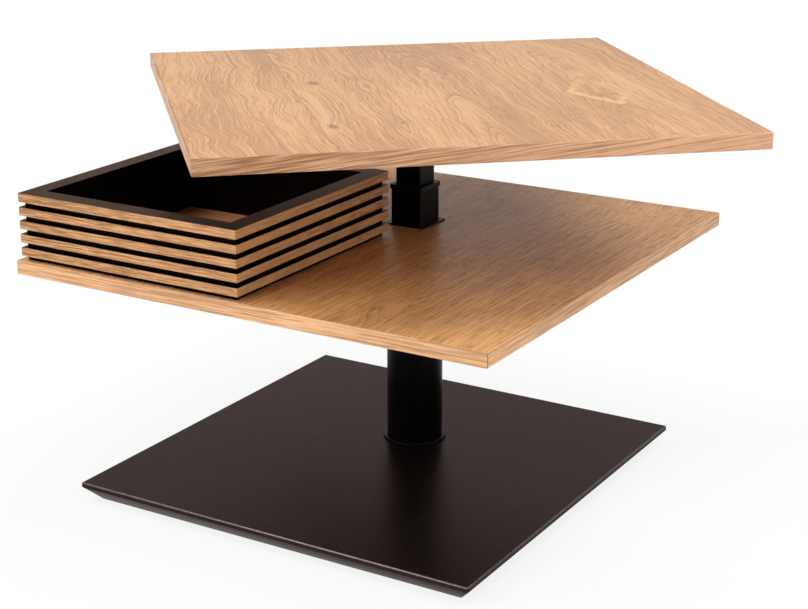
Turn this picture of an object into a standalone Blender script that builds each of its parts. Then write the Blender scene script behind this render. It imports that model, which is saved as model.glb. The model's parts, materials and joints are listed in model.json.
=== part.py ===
# Height-adjustable coffee table with a swivelling top and a loose tray on its lower shelf.
# Metres. X runs along the front edge, Y to the back, Z up from the floor.
import math

import bmesh
import bpy

# Fits
GAP = 0.0003  # between pieces that touch
SLIDE_FIT = 0.0006  # per side, between the lift tube and its guides
LEVER_FIT = 0.0008  # per side, where the lever passes through or between metal
OVERCUT = 0.010  # how far a through cut runs past the faces it opens

# Base plate, standing on four glides
BASE_SIDE = 0.608
BASE_THICK = 0.0274
BASE_EDGE = 0.0066  # upright band under the top face
BASE_UNDERCUT = 0.020  # how far the underside is set back
BASE_CORNER = 0.0015
BASE_ROUND = 0.0022
GLIDE_DIA = 0.040
GLIDE_THICK = 0.001
GLIDE_MARGIN = 0.030  # from the underside's edge to a glide

# Round column, set back from the middle
COLUMN_Y = 0.082
COLUMN_WALL = 0.002
COLUMN_ROOM = 0.0039  # between the guide tube's corners and the column
FLANGE_RIM = 0.0055  # past the column
FLANGE_THICK = 0.003
FOOT_THICK = 0.008
BASE_SCREW_DIA = 0.008
BASE_SCREW_HEAD = 0.015
BASE_SCREW_SHORT = 0.002  # tip below the foot's upper face
BASE_SCREW_MARGIN = 0.0067  # from a screw to the foot's rim

# Shelf
SHELF_SIDE = 0.700
SHELF_THICK = 0.019
SHELF_TOP = 0.352
LIPPING = 0.002  # edge band thickness on both boards
SHELF_PLATE_SIDE = 0.140
SHELF_PLATE_THICK = 0.004
SHELF_PLATE_MARGIN = 0.015  # from a screw to the plate's edge
WOOD_SCREW_DIA = 0.005
WOOD_SCREW_HEAD = 0.010
WOOD_SCREW_LENGTH = 0.015
PAN_HEAD_HEIGHT = 0.0024
SCREW_TIP = 0.002  # diameter

# Lift tube and its shoe
LIFT_SIDE = 0.040
LIFT_WALL = 0.002
LIFT_CORNER = 0.0025
LIFT_OVERLAP = 0.222  # inside the guide tube
LIFT_RAISED = 0.0915  # above its lowest place
SHOE_HEIGHT = 0.042
SHOE_FLOOR = 0.004

# Square guide tube through the shelf, with its cover plate and collar
BUSH_WALL = 0.0021
GUIDE_WALL = 0.002
GUIDE_CORNER = 0.003
GUIDE_ABOVE_SHELF = 0.0506
COVER_RIM = 0.007
COVER_THICK = 0.002
COLLAR_RIM = 0.0015
COLLAR_LIP = 0.0065
COLLAR_DEPTH = 0.040

# Gas spring
CYLINDER_ROOM = 0.004  # between the cylinder and the lift tube
CYLINDER_WALL = 0.0015
CYLINDER_LENGTH = 0.231
CYLINDER_END = 0.006
GLAND_THICK = 0.010
ROD_DIA = 0.010
ROD_SHOULDER = 0.001  # each step down in radius
ROD_NECK_END = 0.003  # above its bracket
ROD_TAIL_END = 0.0025  # below the piston
PISTON_DOWN = 0.060  # below the gland
PISTON_THICK = 0.020
VALVE_PIN_DIA = 0.004
VALVE_PIN_LENGTH = 0.0215
VALVE_ROOM = 0.004  # under the pin
BRACKET_DROP = 0.016  # under the lever
BRACKET_THICK = 0.006

# Top and the swivel under it
TOP_SIDE = 0.690
TOP_THICK = 0.0208
TOP_OFFSET = 0.0805  # from the swivel's axis to the top's middle
TOP_YAW = math.radians(42.6)
SWIVEL_LOWER_DIA = 0.080
SWIVEL_PLATE = 0.003
SWIVEL_RIM = 0.005  # past the screws' heads
SWIVEL_ROOM = 0.003  # between the lower plate and those heads
RING_SETBACK = 0.002  # from the lower plate's edge
RING_WIDTH = 0.013
RING_THICK = 0.0025
HUB_DIA = 0.030
HUB_WALL = 0.005
HUB_END = 0.001  # below the clip
CLIP_RIM = 0.0025  # past the hub
CLIP_GROOVE = 0.002  # depth in the hub
CLIP_THICK = 0.0015
HEAD_RIM = 0.005  # past the lever's bracket
HEAD_THICK = 0.004

# Release lever, reaching back under the top
LEVER_WIDTH = 0.018
LEVER_THICK = 0.005
LEVER_NOSE = 0.006  # past the column's axis
LEVER_REACH = 0.194  # behind the pivot
LEVER_BARREL_DIA = 0.009
LEVER_ROOM = 0.0042  # above the barrel
LEVER_UNDER = 0.003  # from the lever to the foot of its notch
PIVOT_DIA = 0.004
PIVOT_ROOM = 0.009  # between the lift tube and the bracket
EAR_THICK = 0.002
EAR_DEPTH = 0.014
GRIP_WIDTH = 0.024
GRIP_HEIGHT = 0.011
GRIP_LENGTH = 0.060
GRIP_END = 0.004  # closed end
GRIP_BEVEL = 0.002

# Tray
TRAY_X = 0.3475
TRAY_Y = 0.350
TRAY_SETBACK = 0.006  # from the shelf's left edge
TRAY_STANDOFF = 0.0454  # in front of the cover plate
TRAY_WALL = 0.026
TRAY_RIBS = 5
TRAY_RIB = 0.012
TRAY_GROOVE = 0.0061
TRAY_GROOVE_DEPTH = 0.006
TRAY_FOOT = 0.0061
TRAY_FLOOR = 0.002
TRAY_CLEARANCE = 0.003  # under the top at its lowest

# Sizes that follow from those above
GUIDE_SIDE = LIFT_SIDE + 2 * (SLIDE_FIT + BUSH_WALL + GAP + GUIDE_WALL)
COVER_SIDE = GUIDE_SIDE + 2 * COVER_RIM
COLLAR_SIDE = GUIDE_SIDE + 2 * COLLAR_RIM
GUIDE_DIAGONAL = math.sqrt(2) * GUIDE_SIDE - 2 * (math.sqrt(2) - 1) * GUIDE_CORNER
COLUMN_DIA = GUIDE_DIAGONAL + 2 * (COLUMN_ROOM + COLUMN_WALL)
FLANGE_DIA = COLUMN_DIA + 2 * FLANGE_RIM
FOOT_RADIUS = COLUMN_DIA / 2 - COLUMN_WALL - GAP
BASE_SCREW_RING = FOOT_RADIUS - BASE_SCREW_DIA / 2 - BASE_SCREW_MARGIN
SHELF_SCREW_REACH = SHELF_PLATE_SIDE / 2 - SHELF_PLATE_MARGIN
CYLINDER_DIA = LIFT_SIDE - 2 * (LIFT_WALL + CYLINDER_ROOM)
SHOE_HOLE = CYLINDER_DIA + CYLINDER_ROOM
ROD_NECK_DIA = ROD_DIA - 2 * ROD_SHOULDER
ROD_TAIL_DIA = ROD_NECK_DIA - 2 * ROD_SHOULDER
RING_OUT = SWIVEL_LOWER_DIA - 2 * RING_SETBACK
RING_IN = RING_OUT - 2 * RING_WIDTH
TOP_SCREW_RING = SWIVEL_LOWER_DIA / 2 + SWIVEL_ROOM + WOOD_SCREW_HEAD / 2
SWIVEL_UPPER_DIA = 2 * (TOP_SCREW_RING + WOOD_SCREW_HEAD / 2 + SWIVEL_RIM)
CLIP_DIA = HUB_DIA + 2 * CLIP_RIM
HEAD_HOLE = CLIP_DIA + 2 * GAP
LEVER_ARM = LIFT_SIDE / 2 + PIVOT_ROOM + EAR_DEPTH / 2
HEAD_SIDE = 2 * (LEVER_ARM + EAR_DEPTH / 2 + HEAD_RIM)
LEVER_DROP = GAP + EAR_THICK + LEVER_ROOM + LEVER_BARREL_DIA / 2
TRAY_HEIGHT = TRAY_RIBS * TRAY_RIB + (TRAY_RIBS - 1) * TRAY_GROOVE + TRAY_FOOT
TRAY_PLACE_X = TRAY_X / 2 - SHELF_SIDE / 2 + TRAY_SETBACK
TRAY_PLACE_Y = COLUMN_Y - COVER_SIDE / 2 - TRAY_STANDOFF - TRAY_Y / 2
GLIDE_REACH = BASE_SIDE / 2 - BASE_UNDERCUT - GLIDE_MARGIN - GLIDE_DIA / 2

# Heights that follow from them
BASE_BOTTOM = GLIDE_THICK + GAP
BASE_TOP = BASE_BOTTOM + BASE_THICK
FLANGE_BOTTOM = BASE_TOP + GAP
FLANGE_TOP = FLANGE_BOTTOM + FLANGE_THICK
FOOT_BOTTOM = FLANGE_TOP + GAP
FOOT_TOP = FOOT_BOTTOM + FOOT_THICK
SHELF_BOTTOM = SHELF_TOP - SHELF_THICK
SHELF_PLATE_TOP = SHELF_BOTTOM - GAP
SHELF_PLATE_BOTTOM = SHELF_PLATE_TOP - SHELF_PLATE_THICK
GUIDE_TOP = SHELF_TOP + GUIDE_ABOVE_SHELF
TOP_UNDERSIDE = SHELF_TOP + TRAY_HEIGHT + TRAY_CLEARANCE + LIFT_RAISED
TOP_Z = TOP_UNDERSIDE + TOP_THICK
SWIVEL_UPPER_BOTTOM = TOP_UNDERSIDE - GAP - SWIVEL_PLATE
RING_BOTTOM = SWIVEL_UPPER_BOTTOM - GAP - RING_THICK
SWIVEL_LOWER_BOTTOM = RING_BOTTOM - GAP - SWIVEL_PLATE
HEAD_BOTTOM = SWIVEL_LOWER_BOTTOM - GAP - HEAD_THICK
LIFT_TOP = HEAD_BOTTOM - GAP
LIFT_BOTTOM = GUIDE_TOP - LIFT_OVERLAP
PIVOT_Z = HEAD_BOTTOM - LEVER_DROP
LEVER_UNDERSIDE = PIVOT_Z - LEVER_THICK / 2
VALVE_PIN_TOP = LEVER_UNDERSIDE - GAP
VALVE_PIN_BOTTOM = VALVE_PIN_TOP - VALVE_PIN_LENGTH
BRACKET_BOTTOM = LEVER_UNDERSIDE - BRACKET_DROP
BRACKET_TOP = BRACKET_BOTTOM + BRACKET_THICK
CYLINDER_TOP = FOOT_TOP + GAP + CYLINDER_LENGTH
PISTON_TOP = CYLINDER_TOP - GLAND_THICK - PISTON_DOWN
PISTON_BOTTOM = PISTON_TOP - PISTON_THICK

ROUND_STEPS = 48
SMALL_STEPS = 20
CORNER_STEPS = 4


def circle(radius, z, steps=ROUND_STEPS, x=0.0, y=0.0):
    angles = [math.tau * i / steps for i in range(steps)]
    return [(x + radius * math.cos(a), y + radius * math.sin(a), z) for a in angles]


def square(half, z, radius):
    """A square ring with rounded corners."""
    points = []
    for quarter in range(4):
        for step in range(CORNER_STEPS + 1):
            angle = (quarter + step / CORNER_STEPS) * math.pi / 2
            sign_x = 1 if quarter in (0, 3) else -1
            sign_y = 1 if quarter in (0, 1) else -1
            x = sign_x * (half - radius) + radius * math.cos(angle)
            y = sign_y * (half - radius) + radius * math.sin(angle)
            points.append((x, y, z))
    return points


def rectangle(x0, x1, y0, y1, z):
    return [(x0, y0, z), (x1, y0, z), (x1, y1, z), (x0, y1, z)]


def skin(bm, rings, hollow=False):
    """Faces over rings of equal count. A hollow body joins its last ring to its first."""
    rows = [[bm.verts.new(point) for point in ring] for ring in rings]
    pairs = list(zip(rows, rows[1:]))
    if hollow:
        pairs.append((rows[-1], rows[0]))
    else:
        bm.faces.new(rows[0])
        bm.faces.new(rows[-1])
    for lower, upper in pairs:
        for i in range(len(lower)):
            j = (i + 1) % len(lower)
            bm.faces.new((lower[i], lower[j], upper[j], upper[i]))


def body(name, bodies, hollow=False):
    mesh = bpy.data.meshes.new(name)
    bm = bmesh.new()
    for rings in bodies:
        skin(bm, rings, hollow)
    bmesh.ops.recalc_face_normals(bm, faces=bm.faces)
    bm.to_mesh(mesh)
    bm.free()
    obj = bpy.data.objects.new(name, mesh)
    bpy.context.scene.collection.objects.link(obj)
    return obj


def empty(name, location, parent=None, turn=0.0):
    obj = bpy.data.objects.new(name, None)
    bpy.context.scene.collection.objects.link(obj)
    obj.location = location
    obj.rotation_euler.z = turn
    obj.parent = parent
    return obj


def finish(obj, parent, colour, rough, metal=0.0, smooth=False):
    """Gives a piece its parent and its own material."""
    obj.parent = parent
    material = bpy.data.materials.new(obj.name)
    material.use_nodes = True
    shader = material.node_tree.nodes["Principled BSDF"]
    shader.inputs["Base Color"].default_value = (*colour, 1.0)
    shader.inputs["Roughness"].default_value = rough
    shader.inputs["Metallic"].default_value = metal
    obj.data.materials.append(material)
    if smooth:
        obj.data.shade_smooth()
        obj.data.set_sharp_from_angle(angle=math.radians(35))
    return obj


def cut(obj, cutter, parent):
    cutter.parent = parent
    cutter.hide_render = True
    cutter.display_type = "WIRE"
    modifier = obj.modifiers.new(cutter.name, "BOOLEAN")
    modifier.operation = "DIFFERENCE"
    modifier.solver = "EXACT"
    modifier.object = cutter


def around(radius, first=45.0):
    """Four places on a circle."""
    angles = [math.radians(first + 90 * i) for i in range(4)]
    return [(radius * math.cos(a), radius * math.sin(a)) for a in angles]


def corners(reach):
    return [(reach, reach), (-reach, reach), (-reach, -reach), (reach, -reach)]


def countersunk(x, y, z, dia, head, length, fit=0.0):
    """Rings of a screw pointing up, its head's face at z, or of the hole that takes it."""
    shank = dia / 2 + fit
    sink = (head - dia) / 2
    tip = z + length
    sizes = [(head / 2 + fit, z - fit), (shank, z + sink), (shank, tip - dia / 2)]
    sizes.append((SCREW_TIP / 2 + fit, tip + fit))
    if not fit:
        socket = dia / 4
        sizes = [(socket, z + sink), (socket, z)] + sizes
    return [circle(radius, height, SMALL_STEPS, x, y) for radius, height in sizes]


STEEL_BLACK = (0.012, 0.011, 0.011)
STEEL_BRIGHT = (0.55, 0.55, 0.56)
ZINC = (0.42, 0.43, 0.44)
PLASTIC = (0.015, 0.015, 0.016)
OAK = (0.58, 0.36, 0.21)
OAK_EDGE = (0.52, 0.31, 0.17)
BOARD_BLACK = (0.035, 0.029, 0.027)

for stale in list(bpy.data.objects):
    bpy.data.objects.remove(stale)

axis = empty("column_axis", (0, COLUMN_Y, 0))
lift = empty("lift_axis", (0, 0, 0), axis)
swivel = empty("swivel_axis", (0, 0, 0), lift, TOP_YAW)
lever_pivot = empty("lever_axis", (0, LEVER_ARM, PIVOT_Z), lift)
valve = empty("valve_axis", (0, 0, 0), lift)
tray = empty("tray_axis", (TRAY_PLACE_X, TRAY_PLACE_Y, SHELF_TOP + GAP))


def base_screw_rings(fit=0.0):
    length = FOOT_TOP - BASE_BOTTOM - BASE_SCREW_SHORT
    places = around(BASE_SCREW_RING)
    sizes = (BASE_SCREW_DIA, BASE_SCREW_HEAD, length)
    return [countersunk(x, y, BASE_BOTTOM + GAP, *sizes, fit) for x, y in places]


def base_plate():
    half = BASE_SIDE / 2
    rings = [
        square(half - BASE_UNDERCUT, BASE_BOTTOM, BASE_CORNER),
        square(half, BASE_TOP - BASE_EDGE, BASE_CORNER),
        square(half, BASE_TOP - BASE_ROUND, BASE_CORNER),
        square(half - BASE_ROUND, BASE_TOP, BASE_CORNER),
    ]
    plate = finish(body("base_plate", [rings]), None, BOARD_BLACK, 0.6)
    cut(plate, body("base_screw_holes", base_screw_rings(GAP)), axis)


def base_glides():
    for i, (x, y) in enumerate(corners(GLIDE_REACH), 1):
        rings = [circle(GLIDE_DIA / 2, z, 32, x, y) for z in (0, GLIDE_THICK)]
        finish(body(f"base_glide_{i}", [rings]), None, (0.08, 0.075, 0.07), 0.9)


def base_screws():
    for i, rings in enumerate(base_screw_rings(), 1):
        finish(body(f"base_screw_{i}", [rings]), axis, ZINC, 0.35, 1.0, True)


def column_flange():
    rings = [circle(FLANGE_DIA / 2, z) for z in (FLANGE_BOTTOM, FLANGE_TOP)]
    flange = finish(body("column_flange", [rings]), axis, STEEL_BLACK, 0.35, 0.0, True)
    cut(flange, body("flange_screw_holes", base_screw_rings(GAP)), axis)


def column_foot():
    """Threaded disc at the foot of the guide tube, which the base screws pull down."""
    rings = [circle(FOOT_RADIUS, z) for z in (FOOT_BOTTOM, FOOT_TOP)]
    foot = finish(body("guide_tube_foot", [rings]), axis, ZINC, 0.4, 1.0, True)
    cut(foot, body("foot_screw_holes", base_screw_rings(GAP)), axis)


def column_tube():
    outer = COLUMN_DIA / 2
    inner = outer - COLUMN_WALL
    low = FOOT_BOTTOM
    high = SHELF_PLATE_BOTTOM - GAP
    rings = [circle(outer, low), circle(outer, high), circle(inner, high), circle(inner, low)]
    finish(body("column_tube", [rings], True), axis, STEEL_BLACK, 0.3, 0.0, True)


def shelf_screw_rings(fit=0.0):
    sizes = (WOOD_SCREW_DIA, WOOD_SCREW_HEAD, WOOD_SCREW_LENGTH)
    places = corners(SHELF_SCREW_REACH)
    return [countersunk(x, y, SHELF_PLATE_BOTTOM + GAP, *sizes, fit) for x, y in places]


def guide_opening(low, high):
    half = GUIDE_SIDE / 2 + GAP
    return [square(half, z, GUIDE_CORNER) for z in (low, high)]


def shelf_plate():
    """Steel plate at the head of the column, screwed up into the shelf."""
    half = SHELF_PLATE_SIDE / 2
    opening = guide_opening(SHELF_PLATE_BOTTOM, SHELF_PLATE_TOP)
    rings = [square(half, ring[0][2], GUIDE_CORNER) for ring in opening] + opening[::-1]
    plate = finish(body("shelf_plate", [rings], True), axis, STEEL_BLACK, 0.4)
    cut(plate, body("plate_screw_holes", shelf_screw_rings(GAP)), axis)
    for i, screw in enumerate(shelf_screw_rings(), 1):
        finish(body(f"shelf_screw_{i}", [screw]), axis, ZINC, 0.35, 1.0, True)


def board(name, side, low, high, centre_y, parent):
    """A veneered board with a lipping on each of its four edges."""
    half = side / 2
    core = half - LIPPING - GAP
    y = centre_y
    rings = [rectangle(-core, core, y - core, y + core, z) for z in (low, high)]
    panel = finish(body(f"{name}_board", [rings]), parent, OAK, 0.45)
    inner = half - LIPPING
    strips = {
        "front": (-half, half, y - half, y - inner),
        "back": (-half, half, y + inner, y + half),
        "left": (-half, -inner, y - core, y + core),
        "right": (inner, half, y - core, y + core),
    }
    for place, sides in strips.items():
        rings = [rectangle(*sides, z) for z in (low, high)]
        finish(body(f"{name}_edge_{place}", [rings]), parent, OAK_EDGE, 0.45)
    return panel


def shelf():
    panel = board("shelf", SHELF_SIDE, SHELF_BOTTOM, SHELF_TOP, 0.0, None)
    cut(panel, body("shelf_pilot_holes", shelf_screw_rings(GAP)), axis)
    opening = guide_opening(SHELF_BOTTOM - OVERCUT, SHELF_TOP + OVERCUT)
    cut(panel, body("shelf_opening", [opening]), axis)


def guide_tube():
    outer = GUIDE_SIDE / 2
    inner = outer - GUIDE_WALL
    low = FOOT_TOP + GAP
    bore = GUIDE_CORNER - GUIDE_WALL
    rings = [square(outer, z, GUIDE_CORNER) for z in (low, GUIDE_TOP)]
    rings += [square(inner, z, bore) for z in (GUIDE_TOP, low)]
    finish(body("guide_tube", [rings], True), axis, STEEL_BLACK, 0.35)


def cover_plate():
    opening = guide_opening(SHELF_TOP + GAP, SHELF_TOP + GAP + COVER_THICK)
    outer = [square(COVER_SIDE / 2, ring[0][2], GUIDE_CORNER) for ring in opening]
    finish(body("shelf_cover_plate", [outer + opening[::-1]], True), axis, STEEL_BLACK, 0.4)


def guide_collar():
    """Plastic bush in the mouth of the guide tube, with a lip over its edge."""
    lip = COLLAR_SIDE / 2
    sleeve = GUIDE_SIDE / 2 - GUIDE_WALL - GAP
    inner = LIFT_SIDE / 2 + SLIDE_FIT
    low = GUIDE_TOP + GAP
    high = low + COLLAR_LIP
    foot = GUIDE_TOP - COLLAR_DEPTH
    rings = [
        square(sleeve, foot, LIFT_CORNER),
        square(sleeve, low, LIFT_CORNER),
        square(lip, low, GUIDE_CORNER),
        square(lip, high, GUIDE_CORNER),
        square(inner, high, LIFT_CORNER),
        square(inner, foot, LIFT_CORNER),
    ]
    finish(body("guide_collar", [rings], True), axis, PLASTIC, 0.45)


def gas_spring():
    outer = CYLINDER_DIA / 2
    inner = outer - CYLINDER_WALL
    low = FOOT_TOP + GAP
    throat = ROD_DIA / 2 + GAP
    rings = [
        circle(outer, low, 32),
        circle(outer, CYLINDER_TOP, 32),
        circle(throat, CYLINDER_TOP, 32),
        circle(throat, CYLINDER_TOP - GLAND_THICK, 32),
        circle(inner, CYLINDER_TOP - GLAND_THICK, 32),
        circle(inner, low + CYLINDER_END, 32),
    ]
    finish(body("gas_cylinder", [rings]), axis, STEEL_BLACK, 0.3, 0.0, True)
    bore = ROD_TAIL_DIA / 2 + GAP
    rings = [circle(inner - GAP, z, 32) for z in (PISTON_BOTTOM, PISTON_TOP)]
    rings += [circle(bore, z, 32) for z in (PISTON_TOP, PISTON_BOTTOM)]
    finish(body("gas_piston", [rings], True), lift, STEEL_BRIGHT, 0.3, 1.0, True)
    neck_top = BRACKET_TOP + ROD_NECK_END
    well = VALVE_PIN_DIA / 2 + GAP
    rings = [
        circle(ROD_TAIL_DIA / 2, PISTON_BOTTOM - ROD_TAIL_END, SMALL_STEPS),
        circle(ROD_TAIL_DIA / 2, PISTON_TOP + GAP, SMALL_STEPS),
        circle(ROD_DIA / 2, PISTON_TOP + GAP, SMALL_STEPS),
        circle(ROD_DIA / 2, BRACKET_BOTTOM - GAP, SMALL_STEPS),
        circle(ROD_NECK_DIA / 2, BRACKET_BOTTOM - GAP, SMALL_STEPS),
        circle(ROD_NECK_DIA / 2, neck_top, SMALL_STEPS),
        circle(well, neck_top, SMALL_STEPS),
        circle(well, VALVE_PIN_BOTTOM - VALVE_ROOM, SMALL_STEPS),
    ]
    finish(body("gas_rod", [rings]), lift, STEEL_BRIGHT, 0.15, 1.0, True)


def valve_pin():
    heights = (VALVE_PIN_BOTTOM, VALVE_PIN_TOP)
    rings = [circle(VALVE_PIN_DIA / 2, z, SMALL_STEPS) for z in heights]
    finish(body("valve_pin", [rings]), valve, STEEL_BRIGHT, 0.2, 1.0, True)


def rod_bracket():
    """Plate welded across the lift tube, which the rod's neck is clamped in."""
    half = LIFT_SIDE / 2 - LIFT_WALL - GAP
    hole = ROD_NECK_DIA / 2 + GAP
    heights = (BRACKET_BOTTOM, BRACKET_TOP)
    plate = body("rod_bracket", [[square(half, z, GAP) for z in heights]])
    finish(plate, lift, ZINC, 0.4, 1.0)
    low, high = BRACKET_BOTTOM - OVERCUT, BRACKET_TOP + OVERCUT
    cut(plate, body("bracket_hole", [[circle(hole, z, SMALL_STEPS) for z in (low, high)]]), lift)


def lift_tube():
    outer = LIFT_SIDE / 2
    inner = outer - LIFT_WALL
    bore = LIFT_CORNER - LIFT_WALL
    rings = [square(outer, z, LIFT_CORNER) for z in (LIFT_BOTTOM, LIFT_TOP)]
    rings += [square(inner, z, bore) for z in (LIFT_TOP, LIFT_BOTTOM)]
    tube = finish(body("lift_tube", [rings], True), lift, STEEL_BLACK, 0.3)
    half = LEVER_WIDTH / 2 + LEVER_FIT
    sides = (-half, half, inner - LIFT_WALL, outer + LIFT_WALL)
    heights = (LEVER_UNDERSIDE - LEVER_UNDER, LIFT_TOP + OVERCUT)
    notch = [rectangle(*sides, z) for z in heights]
    cut(tube, body("lever_notch", [notch]), lift)


def lift_shoe():
    """Plastic shoe on the lower end of the lift tube, running in the guide tube."""
    outer = GUIDE_SIDE / 2 - GUIDE_WALL - SLIDE_FIT
    inner = LIFT_SIDE / 2 + GAP
    low = LIFT_BOTTOM - GAP - SHOE_FLOOR
    high = low + SHOE_HEIGHT
    rings = [
        square(outer, low, LIFT_CORNER),
        square(outer, high, LIFT_CORNER),
        square(inner, high, LIFT_CORNER),
        square(inner, LIFT_BOTTOM - GAP, LIFT_CORNER),
        square(SHOE_HOLE / 2, LIFT_BOTTOM - GAP, LIFT_CORNER),
        square(SHOE_HOLE / 2, low, LIFT_CORNER),
    ]
    finish(body("lift_shoe", [rings], True), lift, PLASTIC, 0.5)


def head_plate():
    half = HEAD_SIDE / 2
    heights = (HEAD_BOTTOM, HEAD_BOTTOM + HEAD_THICK)
    plate = body("head_plate", [[square(half, z, GUIDE_CORNER) for z in heights]])
    finish(plate, lift, STEEL_BLACK, 0.4)
    low, high = HEAD_BOTTOM - OVERCUT, HEAD_BOTTOM + HEAD_THICK + OVERCUT
    cut(plate, body("head_hole", [[circle(HEAD_HOLE / 2, z) for z in (low, high)]]), lift)


def swivel_fitting():
    """Two plates turning on a plastic ring, held together by a clip on the upper plate's hub."""
    hub = HUB_DIA / 2
    hole = hub + GAP
    low, high = SWIVEL_LOWER_BOTTOM, SWIVEL_LOWER_BOTTOM + SWIVEL_PLATE
    rings = [circle(SWIVEL_LOWER_DIA / 2, z) for z in (low, high)]
    rings += [circle(hole, z) for z in (high, low)]
    finish(body("swivel_lower_plate", [rings], True), lift, ZINC, 0.35, 1.0, True)

    low, high = RING_BOTTOM, RING_BOTTOM + RING_THICK
    rings = [circle(RING_OUT / 2, z) for z in (low, high)]
    rings += [circle(RING_IN / 2, z) for z in (high, low)]
    finish(body("swivel_ring", [rings], True), swivel, (0.75, 0.74, 0.70), 0.5, 0.0, True)

    clip_top = SWIVEL_LOWER_BOTTOM - GAP
    clip_low = clip_top - CLIP_THICK
    hub_low = clip_low - GAP - HUB_END
    groove = hub - CLIP_GROOVE
    upper = SWIVEL_UPPER_BOTTOM
    rings = [
        circle(hub, hub_low),
        circle(hub, clip_low - GAP),
        circle(groove, clip_low - GAP),
        circle(groove, clip_top + GAP),
        circle(hub, clip_top + GAP),
        circle(hub, upper),
        circle(SWIVEL_UPPER_DIA / 2, upper),
        circle(SWIVEL_UPPER_DIA / 2, upper + SWIVEL_PLATE),
        circle(hub - HUB_WALL, upper + SWIVEL_PLATE),
        circle(hub - HUB_WALL, hub_low),
    ]
    plate = finish(body("swivel_upper_plate", [rings], True), swivel, ZINC, 0.35, 1.0, True)
    holes = []
    for x, y in around(TOP_SCREW_RING):
        radius = WOOD_SCREW_DIA / 2 + GAP
        heights = (upper - OVERCUT, upper + SWIVEL_PLATE + OVERCUT)
        holes.append([circle(radius, z, SMALL_STEPS, x, y) for z in heights])
    cut(plate, body("swivel_screw_holes", holes), swivel)

    rings = [circle(CLIP_DIA / 2, z) for z in (clip_low, clip_top)]
    rings += [circle(groove + GAP, z) for z in (clip_top, clip_low)]
    finish(body("swivel_clip", [rings], True), swivel, STEEL_BRIGHT, 0.3, 1.0, True)


def pan_screw(x, y, fit=0.0):
    """Rings of a pan-head screw pointing up into the top, or of its pilot hole."""
    shank = WOOD_SCREW_DIA / 2 + fit
    head = WOOD_SCREW_HEAD / 2
    seat = SWIVEL_UPPER_BOTTOM - GAP
    face = seat - PAN_HEAD_HEIGHT
    middle = seat - PAN_HEAD_HEIGHT / 2
    tip = seat + WOOD_SCREW_LENGTH
    sizes = [(shank, seat), (shank, tip - WOOD_SCREW_DIA / 2), (SCREW_TIP / 2 + fit, tip + fit)]
    if not fit:
        socket = WOOD_SCREW_DIA / 4
        crown = head - PAN_HEAD_HEIGHT / 2
        sizes = [(socket, middle), (socket, face), (crown, face), (head, middle), (head, seat)] + sizes
    return [circle(radius, height, SMALL_STEPS, x, y) for radius, height in sizes]


def top():
    panel = board("top", TOP_SIDE, TOP_UNDERSIDE, TOP_Z, -TOP_OFFSET, swivel)
    places = around(TOP_SCREW_RING)
    cut(panel, body("top_pilot_holes", [pan_screw(x, y, GAP) for x, y in places]), swivel)
    for i, (x, y) in enumerate(places, 1):
        finish(body(f"top_screw_{i}", [pan_screw(x, y)]), swivel, ZINC, 0.35, 1.0, True)


def across(radius, half):
    """A round bar along X."""
    ring = circle(radius, 0.0, SMALL_STEPS)
    return [[(x, a, b) for a, b, _ in ring] for x in (-half, half)]


def release_lever():
    thick = LEVER_THICK / 2
    barrel = LEVER_BARREL_DIA / 2
    start = math.asin(thick / barrel)
    arc = [start + (math.pi - 2 * start) * i / 10 for i in range(11)]
    upper = [(barrel * math.cos(a), barrel * math.sin(a)) for a in arc]
    lower = [(-y, -z) for y, z in upper]
    tail = [(-LEVER_ARM - LEVER_NOSE, thick), (-LEVER_ARM - LEVER_NOSE, -thick)]
    outline = [(LEVER_REACH, -thick), (LEVER_REACH, thick)] + upper + tail + lower
    half = LEVER_WIDTH / 2
    rings = [[(x, y, z) for y, z in outline] for x in (-half, half)]
    lever = finish(body("release_lever", [rings]), lever_pivot, STEEL_BLACK, 0.4)
    cut(lever, body("lever_hole", [across(PIVOT_DIA / 2 + GAP, half + OVERCUT)]), lever_pivot)


def lever_grip():
    """Plastic sleeve closed over the end of the lever."""
    end = LEVER_REACH + GRIP_END
    mouth = end - GRIP_LENGTH

    def frame(half_x, half_z, y):
        return [(x, y, z) for x, z, _ in rectangle(-half_x, half_x, -half_z, half_z, 0)]

    pocket = (LEVER_WIDTH / 2 + GAP, LEVER_THICK / 2 + GAP)
    outside = (GRIP_WIDTH / 2, GRIP_HEIGHT / 2)
    tapered = (outside[0] - GRIP_BEVEL, outside[1] - GRIP_BEVEL)
    rings = [
        frame(*pocket, LEVER_REACH + GAP),
        frame(*pocket, mouth),
        frame(*tapered, mouth),
        frame(*outside, mouth + GRIP_BEVEL),
        frame(*outside, end - GRIP_BEVEL),
        frame(*tapered, end),
    ]
    finish(body("lever_grip", [rings]), lever_pivot, PLASTIC, 0.5)


def lever_bracket():
    inner = LEVER_WIDTH / 2 + LEVER_FIT
    outer = inner + EAR_THICK
    high = LEVER_DROP - GAP
    roof = high - EAR_THICK
    low = -LEVER_BARREL_DIA / 2
    outline = [(-outer, low), (-outer, high), (outer, high), (outer, low)]
    outline += [(inner, low), (inner, roof), (-inner, roof), (-inner, low)]
    centre = (0, LEVER_ARM, PIVOT_Z)
    holder = empty("lever_bracket_place", centre, lift)
    rings = [[(x, y, z) for x, z in outline] for y in (-EAR_DEPTH / 2, EAR_DEPTH / 2)]
    bracket = finish(body("lever_bracket", [rings]), holder, STEEL_BLACK, 0.4)
    cut(bracket, body("bracket_pin_hole", [across(PIVOT_DIA / 2 + GAP, outer + OVERCUT)]), holder)
    pin = body("lever_pin", [across(PIVOT_DIA / 2, outer + EAR_THICK / 2)])
    finish(pin, holder, ZINC, 0.3, 1.0, True)


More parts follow.
